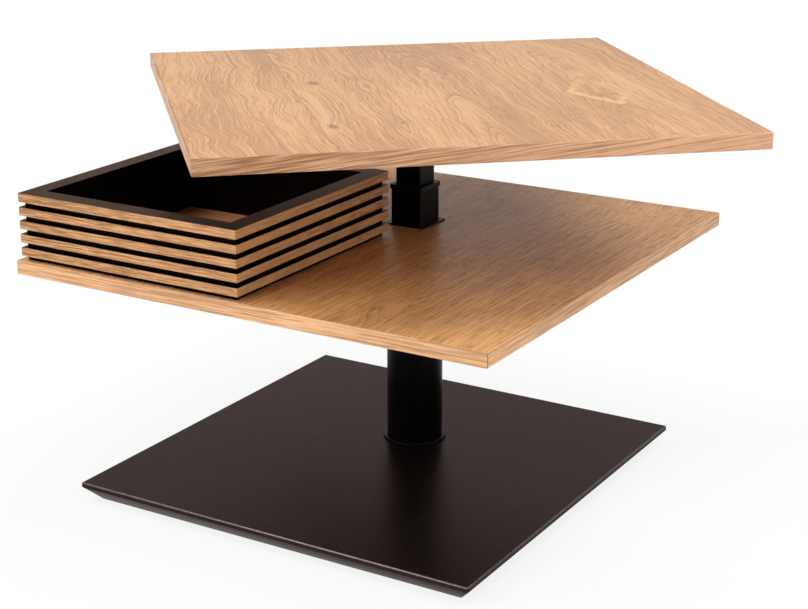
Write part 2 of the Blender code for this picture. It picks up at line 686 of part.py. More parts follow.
def tray_wall(name, length, across_half, turn):
    """A wall with grooves milled along its outside and mitred ends."""
    profile = [(TRAY_WALL, 0.0), (TRAY_WALL, TRAY_HEIGHT - GAP)]
    z = TRAY_HEIGHT - GAP
    for rib in range(TRAY_RIBS):
        profile += [(0.0, z), (0.0, z - TRAY_RIB)]
        z -= TRAY_RIB
        profile.append((TRAY_GROOVE_DEPTH, z))
        if rib < TRAY_RIBS - 1:
            z -= TRAY_GROOVE
            profile.append((TRAY_GROOVE_DEPTH, z))
    profile.append((TRAY_GROOVE_DEPTH, 0.0))
    rings = []
    for side in (-1, 1):
        ends = [side * (length / 2 - depth - GAP) for depth, _ in profile]
        rings.append([(x, d - across_half, h) for x, (d, h) in zip(ends, profile)])
    wall = finish(body(name, [rings]), tray, BOARD_BLACK, 0.5)
    wall.rotation_euler.z = turn


def tray_box():
    half_x, half_y = TRAY_X / 2, TRAY_Y / 2
    tray_wall("tray_wall_front", TRAY_X, half_y, 0.0)
    tray_wall("tray_wall_right", TRAY_Y, half_x, math.pi / 2)
    tray_wall("tray_wall_back", TRAY_X, half_y, math.pi)
    tray_wall("tray_wall_left", TRAY_Y, half_x, -math.pi / 2)
    x = half_x - TRAY_WALL - GAP
    y = half_y - TRAY_WALL - GAP
    rings = [rectangle(-x, x, -y, y, z) for z in (0.0, TRAY_FLOOR)]
    finish(body("tray_floor", [rings]), tray, OAK, 0.45)


base_plate()
base_glides()
base_screws()
column_flange()
column_foot()
column_tube()
shelf_plate()
shelf()
guide_tube()
cover_plate()
guide_collar()
gas_spring()
valve_pin()
rod_bracket()
lift_tube()
lift_shoe()
head_plate()
swivel_fitting()
top()
release_lever()
lever_grip()
lever_bracket()
tray_box()
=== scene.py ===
import json
import math

import bmesh
import bpy
from mathutils import Matrix, Vector


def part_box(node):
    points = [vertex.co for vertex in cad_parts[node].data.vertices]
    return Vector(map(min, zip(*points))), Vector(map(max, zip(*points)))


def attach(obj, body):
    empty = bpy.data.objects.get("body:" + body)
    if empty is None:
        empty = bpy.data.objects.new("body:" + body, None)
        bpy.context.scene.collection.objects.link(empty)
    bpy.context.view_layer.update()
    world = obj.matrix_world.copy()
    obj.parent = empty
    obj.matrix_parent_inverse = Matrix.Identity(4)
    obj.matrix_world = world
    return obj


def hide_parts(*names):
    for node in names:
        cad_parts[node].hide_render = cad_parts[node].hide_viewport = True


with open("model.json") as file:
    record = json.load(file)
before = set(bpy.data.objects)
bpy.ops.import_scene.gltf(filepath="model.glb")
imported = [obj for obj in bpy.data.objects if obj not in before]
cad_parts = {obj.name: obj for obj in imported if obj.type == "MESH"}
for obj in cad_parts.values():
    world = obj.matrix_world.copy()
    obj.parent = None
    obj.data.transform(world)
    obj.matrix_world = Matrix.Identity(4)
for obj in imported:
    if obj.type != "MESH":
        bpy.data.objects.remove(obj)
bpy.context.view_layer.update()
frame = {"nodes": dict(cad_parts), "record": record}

# Base plate
# A square board in a black-brown lacquer with a bronze lustre and a fine grain. Its upper edge is
# eased and carries a paler painted highlight, and its underside is planed back at a slant, so that
# it seems to float off the floor.
BASE_EDGE = 0.0066  # upright band under the upper face
BASE_UNDERCUT = 0.020
BASE_CORNER = 0.0026
BASE_EASE = 0.0022
BASE_SAW_EASE = 0.0006
LACQUER_DARK = (0.0220, 0.0150, 0.0130, 1.0)
LACQUER_PALE = (0.0360, 0.0250, 0.0215, 1.0)
LACQUER_SHEEN = (0.615, 0.575, 0.570, 1.0)  # at a low angle
# Colours and sheen of the painted highlight along the eased upper edge
EDGE_HIGHLIGHT_DARK = (0.060, 0.050, 0.047, 1.0)
EDGE_HIGHLIGHT_PALE = (0.110, 0.095, 0.090, 1.0)
EDGE_HIGHLIGHT_SHEEN = (0.75, 0.73, 0.73, 1.0)
EDGE_HIGHLIGHT_TILT = (0.10, 0.99)  # upward part of the normals on the eased edge
LACQUER_GLOSS = 0.1
LACQUER_METAL = (0.70, 1.0)  # in the pits and between them
LACQUER_ROUGH = (0.26, 0.36)
LACQUER_CLOUDS = (7, 7, 7)  # to the metre along each axis
LACQUER_PITS = (400, 400, 400)
LACQUER_PIT_SHARE = 0.6
LACQUER_RELIEF = 0.00006
PITS_RANGE = (0.25, 0.75)
NOISE_RANGE = (0.30, 0.70)  # that nearly all of a noise lies in
SHARP = 30.0  # degrees, for an edge to be rounded off
SMOOTH = 35.0  # degrees, up to which a bend is shaded round
FACING = 0.9  # part of a normal along an axis, for a face to look that way
SQUARE_ON = 0.99999
TOUCH = 0.00001  # places closer than this are one


def blank(name, low, high):
    """A rectangular blank between two corners, its place in its mesh, left in edit mode."""
    low, high = Vector(low), Vector(high)
    bpy.ops.object.select_all(action="DESELECT")
    bpy.ops.mesh.primitive_cube_add(size=1.0, location=(low + high) / 2)
    piece = bpy.context.object
    piece.name = piece.data.name = name
    piece.scale = high - low
    bpy.ops.object.transform_apply()
    bpy.ops.object.mode_set(mode="EDIT")
    return piece


def pick_faces(piece, test):
    """In edit mode, selects only the faces whose middle and normal pass the test."""
    bpy.ops.mesh.select_mode(type="FACE")
    bpy.ops.mesh.select_all(action="DESELECT")
    mesh = bmesh.from_edit_mesh(piece.data)
    for face in mesh.faces:
        face.select_set(test(face.calc_center_median(), face.normal))
    bmesh.update_edit_mesh(piece.data)


def pick_edges(piece, test):
    """In edit mode, selects only the sharp edges whose two ends pass the test."""
    bpy.ops.mesh.select_mode(type="EDGE")
    bpy.ops.mesh.select_all(action="DESELECT")
    mesh = bmesh.from_edit_mesh(piece.data)
    for edge in mesh.edges:
        sharp = edge.calc_face_angle(0.0) > math.radians(SHARP)
        edge.select_set(sharp and test(*(end.co for end in edge.verts)))
    bmesh.update_edit_mesh(piece.data)


def round_off(piece, test, width, steps):
    """Rounds off the sharp edges that pass the test."""
    pick_edges(piece, test)
    bpy.ops.mesh.bevel(offset=width, segments=steps, affect="EDGES")


def pull_out(*shift):
    """Extrudes the selected faces."""
    bpy.ops.mesh.extrude_region_move(TRANSFORM_OT_translate={"value": shift})


def scale_about(place, factor):
    """Makes what is selected wider or narrower about a place, at the same height."""
    bpy.ops.transform.resize(value=(factor, factor, 1), center_override=place)


def near(value, place):
    return abs(value - place) < TOUCH


def upright(a, b):
    return near(a.x, b.x) and near(a.y, b.y)


def level_at(*heights):
    """A test for edges that lie level at one of these heights."""
    return lambda a, b: any(near(a.z, z) and near(b.z, z) for z in heights)


def shade(piece, angle=SMOOTH):
    """Shades the round stretches smooth and keeps the square faces flat."""
    bpy.ops.object.shade_smooth_by_angle(angle=math.radians(angle))
    for face in piece.data.polygons:
        if max(map(abs, face.normal)) > SQUARE_ON:
            face.use_smooth = False


def finish_mesh(angle=SMOOTH):
    """Turns the faces outwards, leaves edit mode and shades the piece."""
    bpy.ops.mesh.select_all(action="SELECT")
    bpy.ops.mesh.normals_make_consistent(inside=False)
    bpy.ops.object.mode_set(mode="OBJECT")
    shade(bpy.context.object, angle)


def put(tree, kind, sockets=None, **options):
    """Adds a shader node, whose inputs take plain values or other nodes' outputs."""
    made = tree.nodes.new(kind if kind.startswith("Node") else "ShaderNode" + kind)
    for option, value in options.items():
        setattr(made, option, value)
    for socket, value in (sockets or {}).items():
        if isinstance(value, bpy.types.NodeSocket):
            tree.links.new(value, made.inputs[socket])
        else:
            made.inputs[socket].default_value = value
    return made.outputs


def sums(tree, operation, *values):
    return put(tree, "Math", dict(enumerate(values)), operation=operation)[0]


def times(tree, first, second):
    return sums(tree, "MULTIPLY", first, second)


def ramped(tree, value, start, end, low=0.0, high=1.0):
    """A value read from start to end and put out from low to high."""
    limits = {"From Min": start, "From Max": end, "To Min": low, "To Max": high}
    return put(tree, "MapRange", {"Value": value, **limits})["Result"]


def patches(tree, place, count, detail=2.0):
    """Soft random patches, with so many to the metre along each axis."""
    scaled = put(tree, "VectorMath", {0: place, 1: count}, operation="MULTIPLY")[0]
    return put(tree, "TexNoise", {"Vector": scaled, "Scale": 1.0, "Detail": detail})["Fac"]


def between(tree, amount, first, second):
    """A colour on the way from the first to the second."""
    return put(tree, "Mix", {0: amount, 6: first, 7: second}, data_type="RGBA")[2]


def new_finish(name, specular, metallic=0.0):
    """A material, its nodes, its surface and the place on the piece in metres."""
    finish = bpy.data.materials.new(name)
    finish.use_nodes = True
    tree = finish.node_tree
    surface = tree.nodes["Principled BSDF"]
    surface.inputs["Specular IOR Level"].default_value = specular
    surface.inputs["Metallic"].default_value = metallic
    return finish, tree, surface, put(tree, "TexCoord")["Object"]


def lay_on(tree, surface, colour, rough, height, depth):
    """Joins colour, roughness and relief to a surface. depth is the relief's in metres."""
    relief = put(tree, "Bump", {"Height": height, "Distance": depth, "Strength": 1.0})["Normal"]
    for socket, value in {"Base Color": colour, "Roughness": rough, "Normal": relief}.items():
        tree.links.new(value, surface.inputs[socket])


def lacquer(name, dark, pale, sheen):
    """Brown-black lacquer on fibreboard, with a lustre that takes its sheen's colour at a low angle."""
    finish, tree, surface, place = new_finish(name, LACQUER_GLOSS)
    surface.inputs["Specular Tint"].default_value = sheen
    clouds = patches(tree, place, LACQUER_CLOUDS)
    pits = patches(tree, place, LACQUER_PITS, detail=1.0)
    mixed = times(tree, clouds, 1 - LACQUER_PIT_SHARE)
    mixed = sums(tree, "MULTIPLY_ADD", pits, LACQUER_PIT_SHARE, mixed)
    colour = between(tree, ramped(tree, mixed, *NOISE_RANGE), dark, pale)
    rough = ramped(tree, mixed, *NOISE_RANGE, *LACQUER_ROUGH)
    tree.links.new(ramped(tree, pits, *PITS_RANGE, *LACQUER_METAL), surface.inputs["Metallic"])
    lay_on(tree, surface, colour, rough, pits, LACQUER_RELIEF)
    return finish


def dress(piece, finish, body, slot, *nodes):
    """Gives a piece its finish and the body that it rides on, in place of the solids it stands for."""
    piece.data.materials.clear()
    piece.data.materials.append(finish)
    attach(piece, body)
    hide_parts(*nodes)


base_low, base_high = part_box("base_plate")
band_low = base_high.z - BASE_EDGE
base_panel = blank("base_panel", (base_low.x, base_low.y, band_low), base_high)
round_off(base_panel, upright, BASE_CORNER, steps=6)
pick_faces(base_panel, lambda middle, normal: normal.z < -FACING)
pull_out(0, 0, base_low.z - band_low)
scale_about((0, 0, base_low.z), 1 - 2 * BASE_UNDERCUT / (base_high.x - base_low.x))
round_off(base_panel, level_at(base_high.z), BASE_EASE, steps=4)
round_off(base_panel, level_at(band_low, base_low.z), BASE_SAW_EASE, steps=2)
finish_mesh()
base_lacquer = lacquer("base_lacquer", LACQUER_DARK, LACQUER_PALE, LACQUER_SHEEN)
dress(base_panel, base_lacquer, "base", "black_board", "base_plate")
# The faces of the eased upper edge get a paler lacquer, which is a painted highlight
base_panel.data.materials.append(lacquer("painted_highlight_edge", EDGE_HIGHLIGHT_DARK, EDGE_HIGHLIGHT_PALE, EDGE_HIGHLIGHT_SHEEN))
for face in base_panel.data.polygons:
    face.material_index = int(EDGE_HIGHLIGHT_TILT[0] < face.normal.z < EDGE_HIGHLIGHT_TILT[1])

# Glides
# Four discs of pressed wool felt, stuck under the base plate near its corners.
# The table stands on them, with a thin gap under the base.
GLIDE_EASE = 0.0003
TURNED_SMOOTH = 50.0  # degrees, for the rims of turned pieces
FELT_DARK = (0.035, 0.031, 0.029, 1.0)
FELT_PALE = (0.110, 0.100, 0.092, 1.0)
FELT_GLOSS = 0.1
FELT_SHEEN = 0.3
FELT_ROUGH = (0.85, 1.0)
FELT_FIBRES = (1500, 1500, 1500)
FELT_RELIEF = 0.0004
NOISE_MIDDLE = (0.35, 0.65)  # that most of a noise lies in


def four(name):
    return [f"{name}_{i}" for i in range(1, 5)]


def middle_of(node):
    low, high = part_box(node)
    return (low + high) / 2


def half_width(node):
    low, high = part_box(node)
    return (high.x - low.x) / 2


def turned(name, centre, profile, steps):
    """A closed round piece from (radius, height) pairs, bottom to top, left in edit mode."""
    (radius, low), (next_radius, high) = profile[:2]
    place = (centre.x, centre.y, (low + high) / 2)
    sizes = {"radius1": radius, "radius2": next_radius, "depth": high - low}
    bpy.ops.object.select_all(action="DESELECT")
    bpy.ops.mesh.primitive_cone_add(vertices=steps, location=place, **sizes)
    piece = bpy.context.object
    piece.name = piece.data.name = name
    bpy.ops.object.transform_apply()
    bpy.ops.object.mode_set(mode="EDIT")
    pick_faces(piece, lambda middle, normal: normal.z > FACING and near(middle.z, high))
    for (last, low), (radius, high) in zip(profile[1:], profile[2:]):
        pull_out(0, 0, high - low)
        scale_about((centre.x, centre.y, high), radius / last)
    return piece


def take_up(piece):
    """Selects this piece alone."""
    bpy.ops.object.select_all(action="DESELECT")
    piece.select_set(True)
    bpy.context.view_layer.objects.active = piece


def copy_to(piece, name, shift):
    """A copy with its own mesh, which is moved while the object stays at the origin."""
    take_up(piece)
    bpy.ops.object.duplicate(linked=False)
    copy = bpy.context.object
    copy.name = copy.data.name = name
    copy.location = shift
    bpy.ops.object.transform_apply()
    return copy


def set_of(first, name, nodes):
    """The first piece, and a copy of it at the place of each other node."""
    start = middle_of(nodes[0])
    shifts = [middle_of(node) - start for node in nodes[1:]]
    return [first] + [copy_to(first, f"{name}_{i}", shift) for i, shift in enumerate(shifts, 2)]


def felt():
    """Pressed wool felt, with a fine tangle of fibres."""
    finish, tree, surface, place = new_finish("felt", FELT_GLOSS)
    surface.inputs["Sheen Weight"].default_value = FELT_SHEEN
    fibres = patches(tree, place, FELT_FIBRES, detail=4.0)
    colour = between(tree, ramped(tree, fibres, *NOISE_MIDDLE), FELT_DARK, FELT_PALE)
    rough = ramped(tree, fibres, *NOISE_RANGE, *FELT_ROUGH)
    lay_on(tree, surface, colour, rough, fibres, FELT_RELIEF)
    return finish


glide_nodes = four("base_glide")
glide_low, glide_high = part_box(glide_nodes[0])
glide_radius = half_width(glide_nodes[0])
glide_profile = [
    (glide_radius - GLIDE_EASE, glide_low.z),
    (glide_radius, glide_low.z + GLIDE_EASE),
    (glide_radius, glide_high.z - GLIDE_EASE),
    (glide_radius - GLIDE_EASE, glide_high.z),
]
glide = turned("floor_glide_1", middle_of(glide_nodes[0]), glide_profile, steps=48)
finish_mesh(TURNED_SMOOTH)
wool_felt = felt()
for piece, node in zip(set_of(glide, "floor_glide", glide_nodes), glide_nodes):
    dress(piece, wool_felt, "base", "felt", node)

# Base screws
# Four countersunk machine screws with hexagon sockets, zinc plated. They go up through the base
# plate and the column's foot flange into the threaded disc inside the column.
CLEARANCE = 0.0003  # between pieces that fit into each other
BASE_SCREW_SHANK = 0.004  # radius
BASE_SOCKET = 0.0030  # radius over its corners
ZINC_DULL = (0.36, 0.37, 0.39, 1.0)
ZINC_BRIGHT = (0.62, 0.63, 0.64, 1.0)
ZINC_ROUGH = 0.34
PLATE_GLOSS = 0.5
PLATE_STAINS = (60, 60, 60)
PLATE_STREAKS = (300, 300, 2500)
PLATE_STREAK_SHARE = 0.35
PLATE_WORN = (0.08, -0.05)  # by which it is rougher where dull and smoother where bright
PLATE_RELIEF = 0.00002


def cut_out(piece, cutter):
    """Takes one shape out of another."""
    take_up(piece)
    modifier = piece.modifiers.new("cut", "BOOLEAN")
    modifier.operation = "DIFFERENCE"
    modifier.solver = "MANIFOLD"
    modifier.object = cutter
    bpy.ops.object.modifier_apply(modifier=modifier.name)
    shade(piece)


def countersunk(name, node, shank, fit=0.0):
    """A flat-headed screw pointing up, at its solid's place, or the hole that it goes in."""
    low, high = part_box(node)
    head = half_width(node)
    cone = head - shank
    rings = [(head, low.z), (shank, low.z + cone), (shank, high.z - shank / 2), (shank / 2, high.z)]
    rings = [(radius + fit, height) for radius, height in rings]
    if fit:
        rings = [(head + fit, low.z - head)] + rings + [(shank / 2 + fit, high.z + fit)]
    screw = turned(name, middle_of(node), rings, steps=32)
    finish_mesh()
    return screw


def drive_socket(screw, node, radius, corners):
    """Sinks a socket into a screw's head from below."""
    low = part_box(node)[0].z
    plug = turned("socket_plug", middle_of(node), [(radius, low - radius), (radius, low + radius)], corners)
    finish_mesh()
    cut_out(screw, plug)
    bpy.data.objects.remove(plug)


def plating(name, dull, bright, rough):
    """Plated or ground metal, with faint streaks and small stains."""
    finish, tree, surface, place = new_finish(name, PLATE_GLOSS, metallic=1.0)
    stains = patches(tree, place, PLATE_STAINS, detail=3.0)
    streaks = patches(tree, place, PLATE_STREAKS, detail=1.0)
    mixed = times(tree, stains, 1 - PLATE_STREAK_SHARE)
    mixed = sums(tree, "MULTIPLY_ADD", streaks, PLATE_STREAK_SHARE, mixed)
    colour = between(tree, ramped(tree, mixed, *NOISE_MIDDLE), dull, bright)
    worn = ramped(tree, mixed, *NOISE_RANGE, *(rough + change for change in PLATE_WORN))
    lay_on(tree, surface, colour, worn, streaks, PLATE_RELIEF)
    return finish


base_screw_nodes = four("base_screw")
hole = countersunk("screw_hole_1", base_screw_nodes[0], BASE_SCREW_SHANK, CLEARANCE)
base_holes = set_of(hole, "screw_hole", base_screw_nodes)
for hole in base_holes:
    cut_out(base_panel, hole)
bolt = countersunk("base_bolt_1", base_screw_nodes[0], BASE_SCREW_SHANK)
drive_socket(bolt, base_screw_nodes[0], BASE_SOCKET, corners=6)
zinc = plating("zinc", ZINC_DULL, ZINC_BRIGHT, ZINC_ROUGH)
for piece, node in zip(set_of(bolt, "base_bolt", base_screw_nodes), base_screw_nodes):
    dress(piece, zinc, "base", "zinc", node)

# Column foot
# A thin turned steel flange under the column, powder coated black, and inside the column the
# threaded disc at the foot of the square guide tube, which the base screws pull down on it.
FLANGE_EASE = 0.0009  # of the upper edge
FLANGE_ROUND = 0.3 * FLANGE_EASE  # that the middle of the rounding lies in from the corner
FLANGE_UNDER_EASE = FLANGE_EASE / 3
COAT_DARK = (0.0012, 0.0010, 0.0011, 1.0)
COAT_PALE = (0.0028, 0.0024, 0.0025, 1.0)
COAT_GLOSS = 0.06
COAT_ROUGH = (0.30, 0.42)
COAT_PEEL = (650, 650, 650)
COAT_CLOUDS = (25, 25, 25)
COAT_RELIEF = 0.00005


def powder_coat():
    """Satin black powder coat on steel, with a fine orange peel."""
    finish, tree, surface, place = new_finish("powder_coat", COAT_GLOSS)
    peel = patches(tree, place, COAT_PEEL, detail=1.0)
    clouds = patches(tree, place, COAT_CLOUDS)
    colour = between(tree, ramped(tree, peel, *NOISE_MIDDLE), COAT_DARK, COAT_PALE)
    rough = ramped(tree, clouds, *NOISE_RANGE, *COAT_ROUGH)
    lay_on(tree, surface, colour, rough, peel, COAT_RELIEF)
    return finish


def refinish(finish, *nodes):
    """Gives solids that stay as they are a detailed finish."""
    for node in nodes:
        frame["nodes"][node].data.materials.clear()
        frame["nodes"][node].data.materials.append(finish)


flange_low, flange_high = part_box("column_flange")
flange_radius = half_width("column_flange")
flange_profile = [
    (flange_radius - FLANGE_UNDER_EASE, flange_low.z),
    (flange_radius, flange_low.z + FLANGE_UNDER_EASE),
    (flange_radius, flange_high.z - FLANGE_EASE),
    (flange_radius - FLANGE_ROUND, flange_high.z - FLANGE_ROUND),
    (flange_radius - FLANGE_EASE, flange_high.z),
]
foot_flange = turned("foot_flange", middle_of("column_flange"), flange_profile, steps=128)
finish_mesh(TURNED_SMOOTH)
for hole in base_holes:
    cut_out(foot_flange, hole)
    bpy.data.objects.remove(hole)
black_coat = powder_coat()
dress(foot_flange, black_coat, "base", "black_steel", "column_flange")
refinish(zinc, "guide_tube_foot")

# Round column
# A length of welded steel tube, cut square and powder coated satin black. It stands on the foot
# flange, and the square guide tube runs up inside it.
COLUMN_WALL = 0.002
TUBE_EASE = 0.0004


def bore(piece, wall):
    """Insets both ends of a bar by its wall and joins the insets into a bore."""
    pick_faces(piece, lambda middle, normal: abs(normal.z) > FACING)
    bpy.ops.mesh.inset(thickness=wall)
    bpy.ops.mesh.bridge_edge_loops()


column_low, column_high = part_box("column_tube")
column_radius = half_width("column_tube")
column_profile = [(column_radius, column_low.z), (column_radius, column_high.z)]
round_column = turned("round_column", middle_of("column_tube"), column_profile, steps=128)
bore(round_column, COLUMN_WALL)
round_off(round_column, level_at(column_low.z, column_high.z), TUBE_EASE, steps=2)
finish_mesh()
dress(round_column, black_coat, "base", "black_steel", "column_tube")

# Shelf fixing
# A square steel plate on the column's head, powder coated, with four countersunk wood screws
# up into the shelf. It is seen only from below.
WOOD_SCREW_SHANK = 0.0025  # radius
WOOD_SOCKET = 0.0018  # radius over its corners
shelf_screw_nodes = four("shelf_screw")
bolt = countersunk("shelf_bolt_1", shelf_screw_nodes[0], WOOD_SCREW_SHANK)
drive_socket(bolt, shelf_screw_nodes[0], WOOD_SOCKET, corners=6)
for piece, node in zip(set_of(bolt, "shelf_bolt", shelf_screw_nodes), shelf_screw_nodes):
    dress(piece, zinc, "base", "zinc", node)
refinish(black_coat, "shelf_plate")

# Shelf
# Chipboard faced with straight-grained oak veneer, satin lacquered, and lipped on its four edges
# with strips of solid oak. The guide tube comes up through a square opening behind its middle.
SHELF_OPENING_FIT = 0.0006
OPENING_CORNER = 0.003
BOARD_EASE = 0.00015
LIPPING_EASE = 0.0009
GLUE_LINE = 0.0002  # between board and lipping
LIPPING_WIDTH = 0.002
LIPPING_END = 0.0001  # depth of a lipping's end faces, with the first of their rounding
QUARTER_TURN = math.pi / 2
SHELF_GLOSS = 0.20
STRIP_GLOSS = 0.25
OAK_ROUGH = (0.40, 0.60)  # between the pores and in them
OAK_RELIEF = 0.00005
FIBRE_RELIEF = 0.3  # against that of the pores
# How much paler than its pale wood oak turns, for pale tone of the figure and for painted light
PALE_TONE_AND_LIGHT = 1.15
# Shares of tone, bands, fibres, lines and pores in how oak looks, the mean strength of the first
# three, and how far apart its growth lines lie and wander.
STRAIGHT_SHARES = (1.5, 0.5, 5.5, 0.85, 0.85)
STRIP_SHARES = (1.6, 0.6, 8.0, 0.85, 0.40)
GRAIN_MEANS = (0.5, 0.2, 0.5)
STRAIGHT_SPACING = 0.0065
STRAIGHT_WANDER = 0.022
STRIP_SPACING = 0.006
STRIP_WANDER = 0.006
STRIP_SLANT = -0.015  # of its grain
# Painted light and shade along a strip reach their darkest or palest this far from its centre
STRIP_REACH = 0.30  # from its centre to where its ends are darkest or palest
# Noises of the grain, each with its counts to the metre across and along it, and its layer.
GRAIN_WAVES = [  # and the share of each in how the lines wander
    (4.0, 3.0, 0.0, 0.70),
    (13.0, 10.0, 3.0, 0.45),
    (30.0, 19.0, 5.0, 0.16),
    (75.0, 45.0, 7.0, 0.03),
]
WAVES_MEAN = 0.67
GRAIN_DASHES = (760.0, 34.0, 11.0)
GRAIN_STREAKS = (400.0, 3.5, 13.0)
GRAIN_FLECKS = (540.0, 13.0, 15.0)
GRAIN_CLOUDS = (10.0, 2.0, 17.0)
GRAIN_FADES = (14.0, 8.0, 21.0)
DASH_RANGE = (0.59, 0.67)
FADE_RANGE = (0.36, 0.62)
FADED_LINE = 0.10
STREAK_SHARE = 0.45
FLECK_SHARE = 0.55
# A year's growth, in parts of a year.
YEAR_CHANGES = 0.30  # of width, to the year
YEAR_SHIFT = 2.0
LINE_FULL = 0.08
LINE_END = 0.30
BAND_END = 0.95
LINE_LUCK = 0.2  # under which a year's line is faintest
FAINTEST_LINE = 0.05
LATE_PORES = 0.25
# Swirls and knots, each with its place, half width, half length, swell and darkness.
SHELF_SWIRLS = [(0.150, -0.265, 0.040, 0.090, 0.035, 0.0), (0.270, -0.290, 0.030, 0.070, 0.022, 0.0)]
KNOT_EYE = (0.012, 0.12)  # squared reach at which its darkness begins to fade, and is gone
# Each oak has four colours: the pale wood, the middle, the late wood of each year, and the pores.
SHELF_OAK = [
    (0.713, 0.377, 0.151),
    (0.472, 0.219, 0.075),
    (0.274, 0.113, 0.037),
    (0.112, 0.043, 0.014),
]
LIPPING_OAK = [
    (0.846, 0.490, 0.258),
    (0.526, 0.276, 0.127),
    (0.381, 0.173, 0.074),
    (0.240, 0.097, 0.039),
]
END_OAK = [
    (0.150, 0.070, 0.030),
    (0.100, 0.043, 0.017),
    (0.060, 0.024, 0.009),
    (0.030, 0.012, 0.004),
]


def plus(tree, first, second):
    return sums(tree, "ADD", first, second)


def minus(tree, first, second):
    return sums(tree, "SUBTRACT", first, second)


def make_oak_sheet():
    """Growth lines and bands, pores, fibres and slow changes of tone in oak whose grain runs along Y."""
    group = bpy.data.node_groups.new("oak_sheet", "ShaderNodeTree")
    kinds = {"Place": "Vector", "Ring": "Float", "Spacing": "Float", "Wander": "Float", "Leaf": "Float"}
    for name, kind in kinds.items():
        group.interface.new_socket(name, in_out="INPUT", socket_type="NodeSocket" + kind)
    for name in ("Lines", "Bands", "Pores", "Fibres", "Tone"):
        group.interface.new_socket(name, in_out="OUTPUT", socket_type="NodeSocketFloat")
    given = put(group, "NodeGroupInput")
    across, along, _ = put(group, "SeparateXYZ", {0: given["Place"]})

    def stretched(read, count_across, count_along, layer, detail=1.0):
        x = times(group, read, count_across)
        y = times(group, along, count_along)
        spot = put(group, "CombineXYZ", {0: x, 1: y, 2: plus(group, given["Leaf"], layer)})[0]
        return put(group, "TexNoise", {"Vector": spot, "Scale": 1.0, "Detail": detail})["Fac"]

    way = 0.0
    for *counts, share in GRAIN_WAVES:
        way = sums(group, "MULTIPLY_ADD", stretched(across, *counts), share, way)
    lean = times(group, minus(group, way, WAVES_MEAN), given["Wander"])
    bent = plus(group, across, lean)
    year = sums(group, "DIVIDE", plus(group, given["Ring"], lean), given["Spacing"])
    changes = {"W": year, "Scale": YEAR_CHANGES, "Detail": 1.0}
    uneven = put(group, "TexNoise", changes, noise_dimensions="1D")["Fac"]
    year = sums(group, "MULTIPLY_ADD", uneven, YEAR_SHIFT, year)
    season = sums(group, "FRACT", year)
    luck = put(group, "TexWhiteNoise", {"W": sums(group, "FLOOR", year)}, noise_dimensions="1D")["Value"]
    rise = ramped(group, season, 0.0, LINE_FULL)
    fall = ramped(group, season, LINE_FULL, BAND_END, 1.0, 0.0)
    bands = times(group, times(group, rise, fall), luck)
    hair = times(group, rise, ramped(group, season, LINE_FULL, LINE_END, 1.0, 0.0))
    strong = ramped(group, luck, LINE_LUCK, 1.0, FAINTEST_LINE, 1.0)
    shown = ramped(group, stretched(bent, *GRAIN_FADES), *FADE_RANGE, FADED_LINE, 1.0)
    lines = times(group, times(group, hair, strong), shown)
    dashes = ramped(group, stretched(bent, *GRAIN_DASHES), *DASH_RANGE)
    pores = times(group, dashes, ramped(group, fall, 0.0, 1.0, LATE_PORES, 1.0))
    streaks = stretched(bent, *GRAIN_STREAKS, detail=2.0)
    flecks = times(group, stretched(bent, *GRAIN_FLECKS), FLECK_SHARE)
    fibres = sums(group, "MULTIPLY_ADD", streaks, STREAK_SHARE, flecks)
    tone = stretched(bent, *GRAIN_CLOUDS, detail=2.0)
    given_back = {"Lines": lines, "Bands": bands, "Pores": pores, "Fibres": fibres, "Tone": tone}
    put(group, "NodeGroupOutput", given_back)
    return group


oak_sheet = make_oak_sheet()


def oak_surface(tree, surface, oak, place, ring, shares, spacing, wander, leaf, dark=None):
    """Lays oak on a surface. ring tells its growth rings apart, shares are those of its tone, bands,
    fibres, lines and pores, and dark, the figure's tone together with painted shade and light, deepens
    it where it is over 0 and makes it paler below."""
    sockets = {"Place": place, "Ring": ring, "Spacing": spacing, "Wander": wander, "Leaf": leaf}
    sheet = put(tree, "Group", sockets, node_tree=oak_sheet)
    pale, middle, late, pore = [(*colour, 1.0) for colour in oak]
    *mixed_shares, line_share, pore_share = shares
    mixed = 0.5 - sum(share * mean for share, mean in zip(mixed_shares, GRAIN_MEANS))
    for name, share in zip(("Tone", "Bands", "Fibres"), mixed_shares):
        mixed = sums(tree, "MULTIPLY_ADD", sheet[name], share, mixed)
    colour = between(tree, mixed, pale, middle)
    lines = times(tree, sheet["Lines"], line_share)
    if dark is not None:
        pale_tone_and_light = [PALE_TONE_AND_LIGHT * part for part in pale[:3]] + [1.0]
        colour = between(tree, times(tree, dark, -1.0), colour, pale_tone_and_light)
        lines = plus(tree, lines, sums(tree, "MAXIMUM", dark, 0.0))
    colour = between(tree, lines, colour, late)
    colour = between(tree, times(tree, sheet["Pores"], pore_share), colour, pore)
    rough = ramped(tree, sheet["Pores"], 0.0, 1.0, *OAK_ROUGH)
    height = minus(tree, times(tree, sheet["Fibres"], FIBRE_RELIEF), sheet["Pores"])
    lay_on(tree, surface, colour, rough, height, OAK_RELIEF)


def swollen(tree, flat, way, dark, figures):
    """Bends the way of the growth rings round swirls and knots, and adds the knots' darkness."""
    across, along, _ = put(tree, "SeparateXYZ", {0: flat})
    for x, y, wide, long, swell, eye in figures:
        aside = sums(tree, "DIVIDE", minus(tree, across, x), wide)
        ahead = sums(tree, "DIVIDE", minus(tree, along, y), long)
        square = sums(tree, "MULTIPLY_ADD", aside, aside, times(tree, ahead, ahead))
        hump = sums(tree, "EXPONENT", times(tree, square, -1.0))
        way = sums(tree, "MULTIPLY_ADD", hump, swell, way)
        if eye:
            dark = sums(tree, "MAXIMUM", dark, ramped(tree, square, *KNOT_EYE, eye, 0.0))
    return way, dark


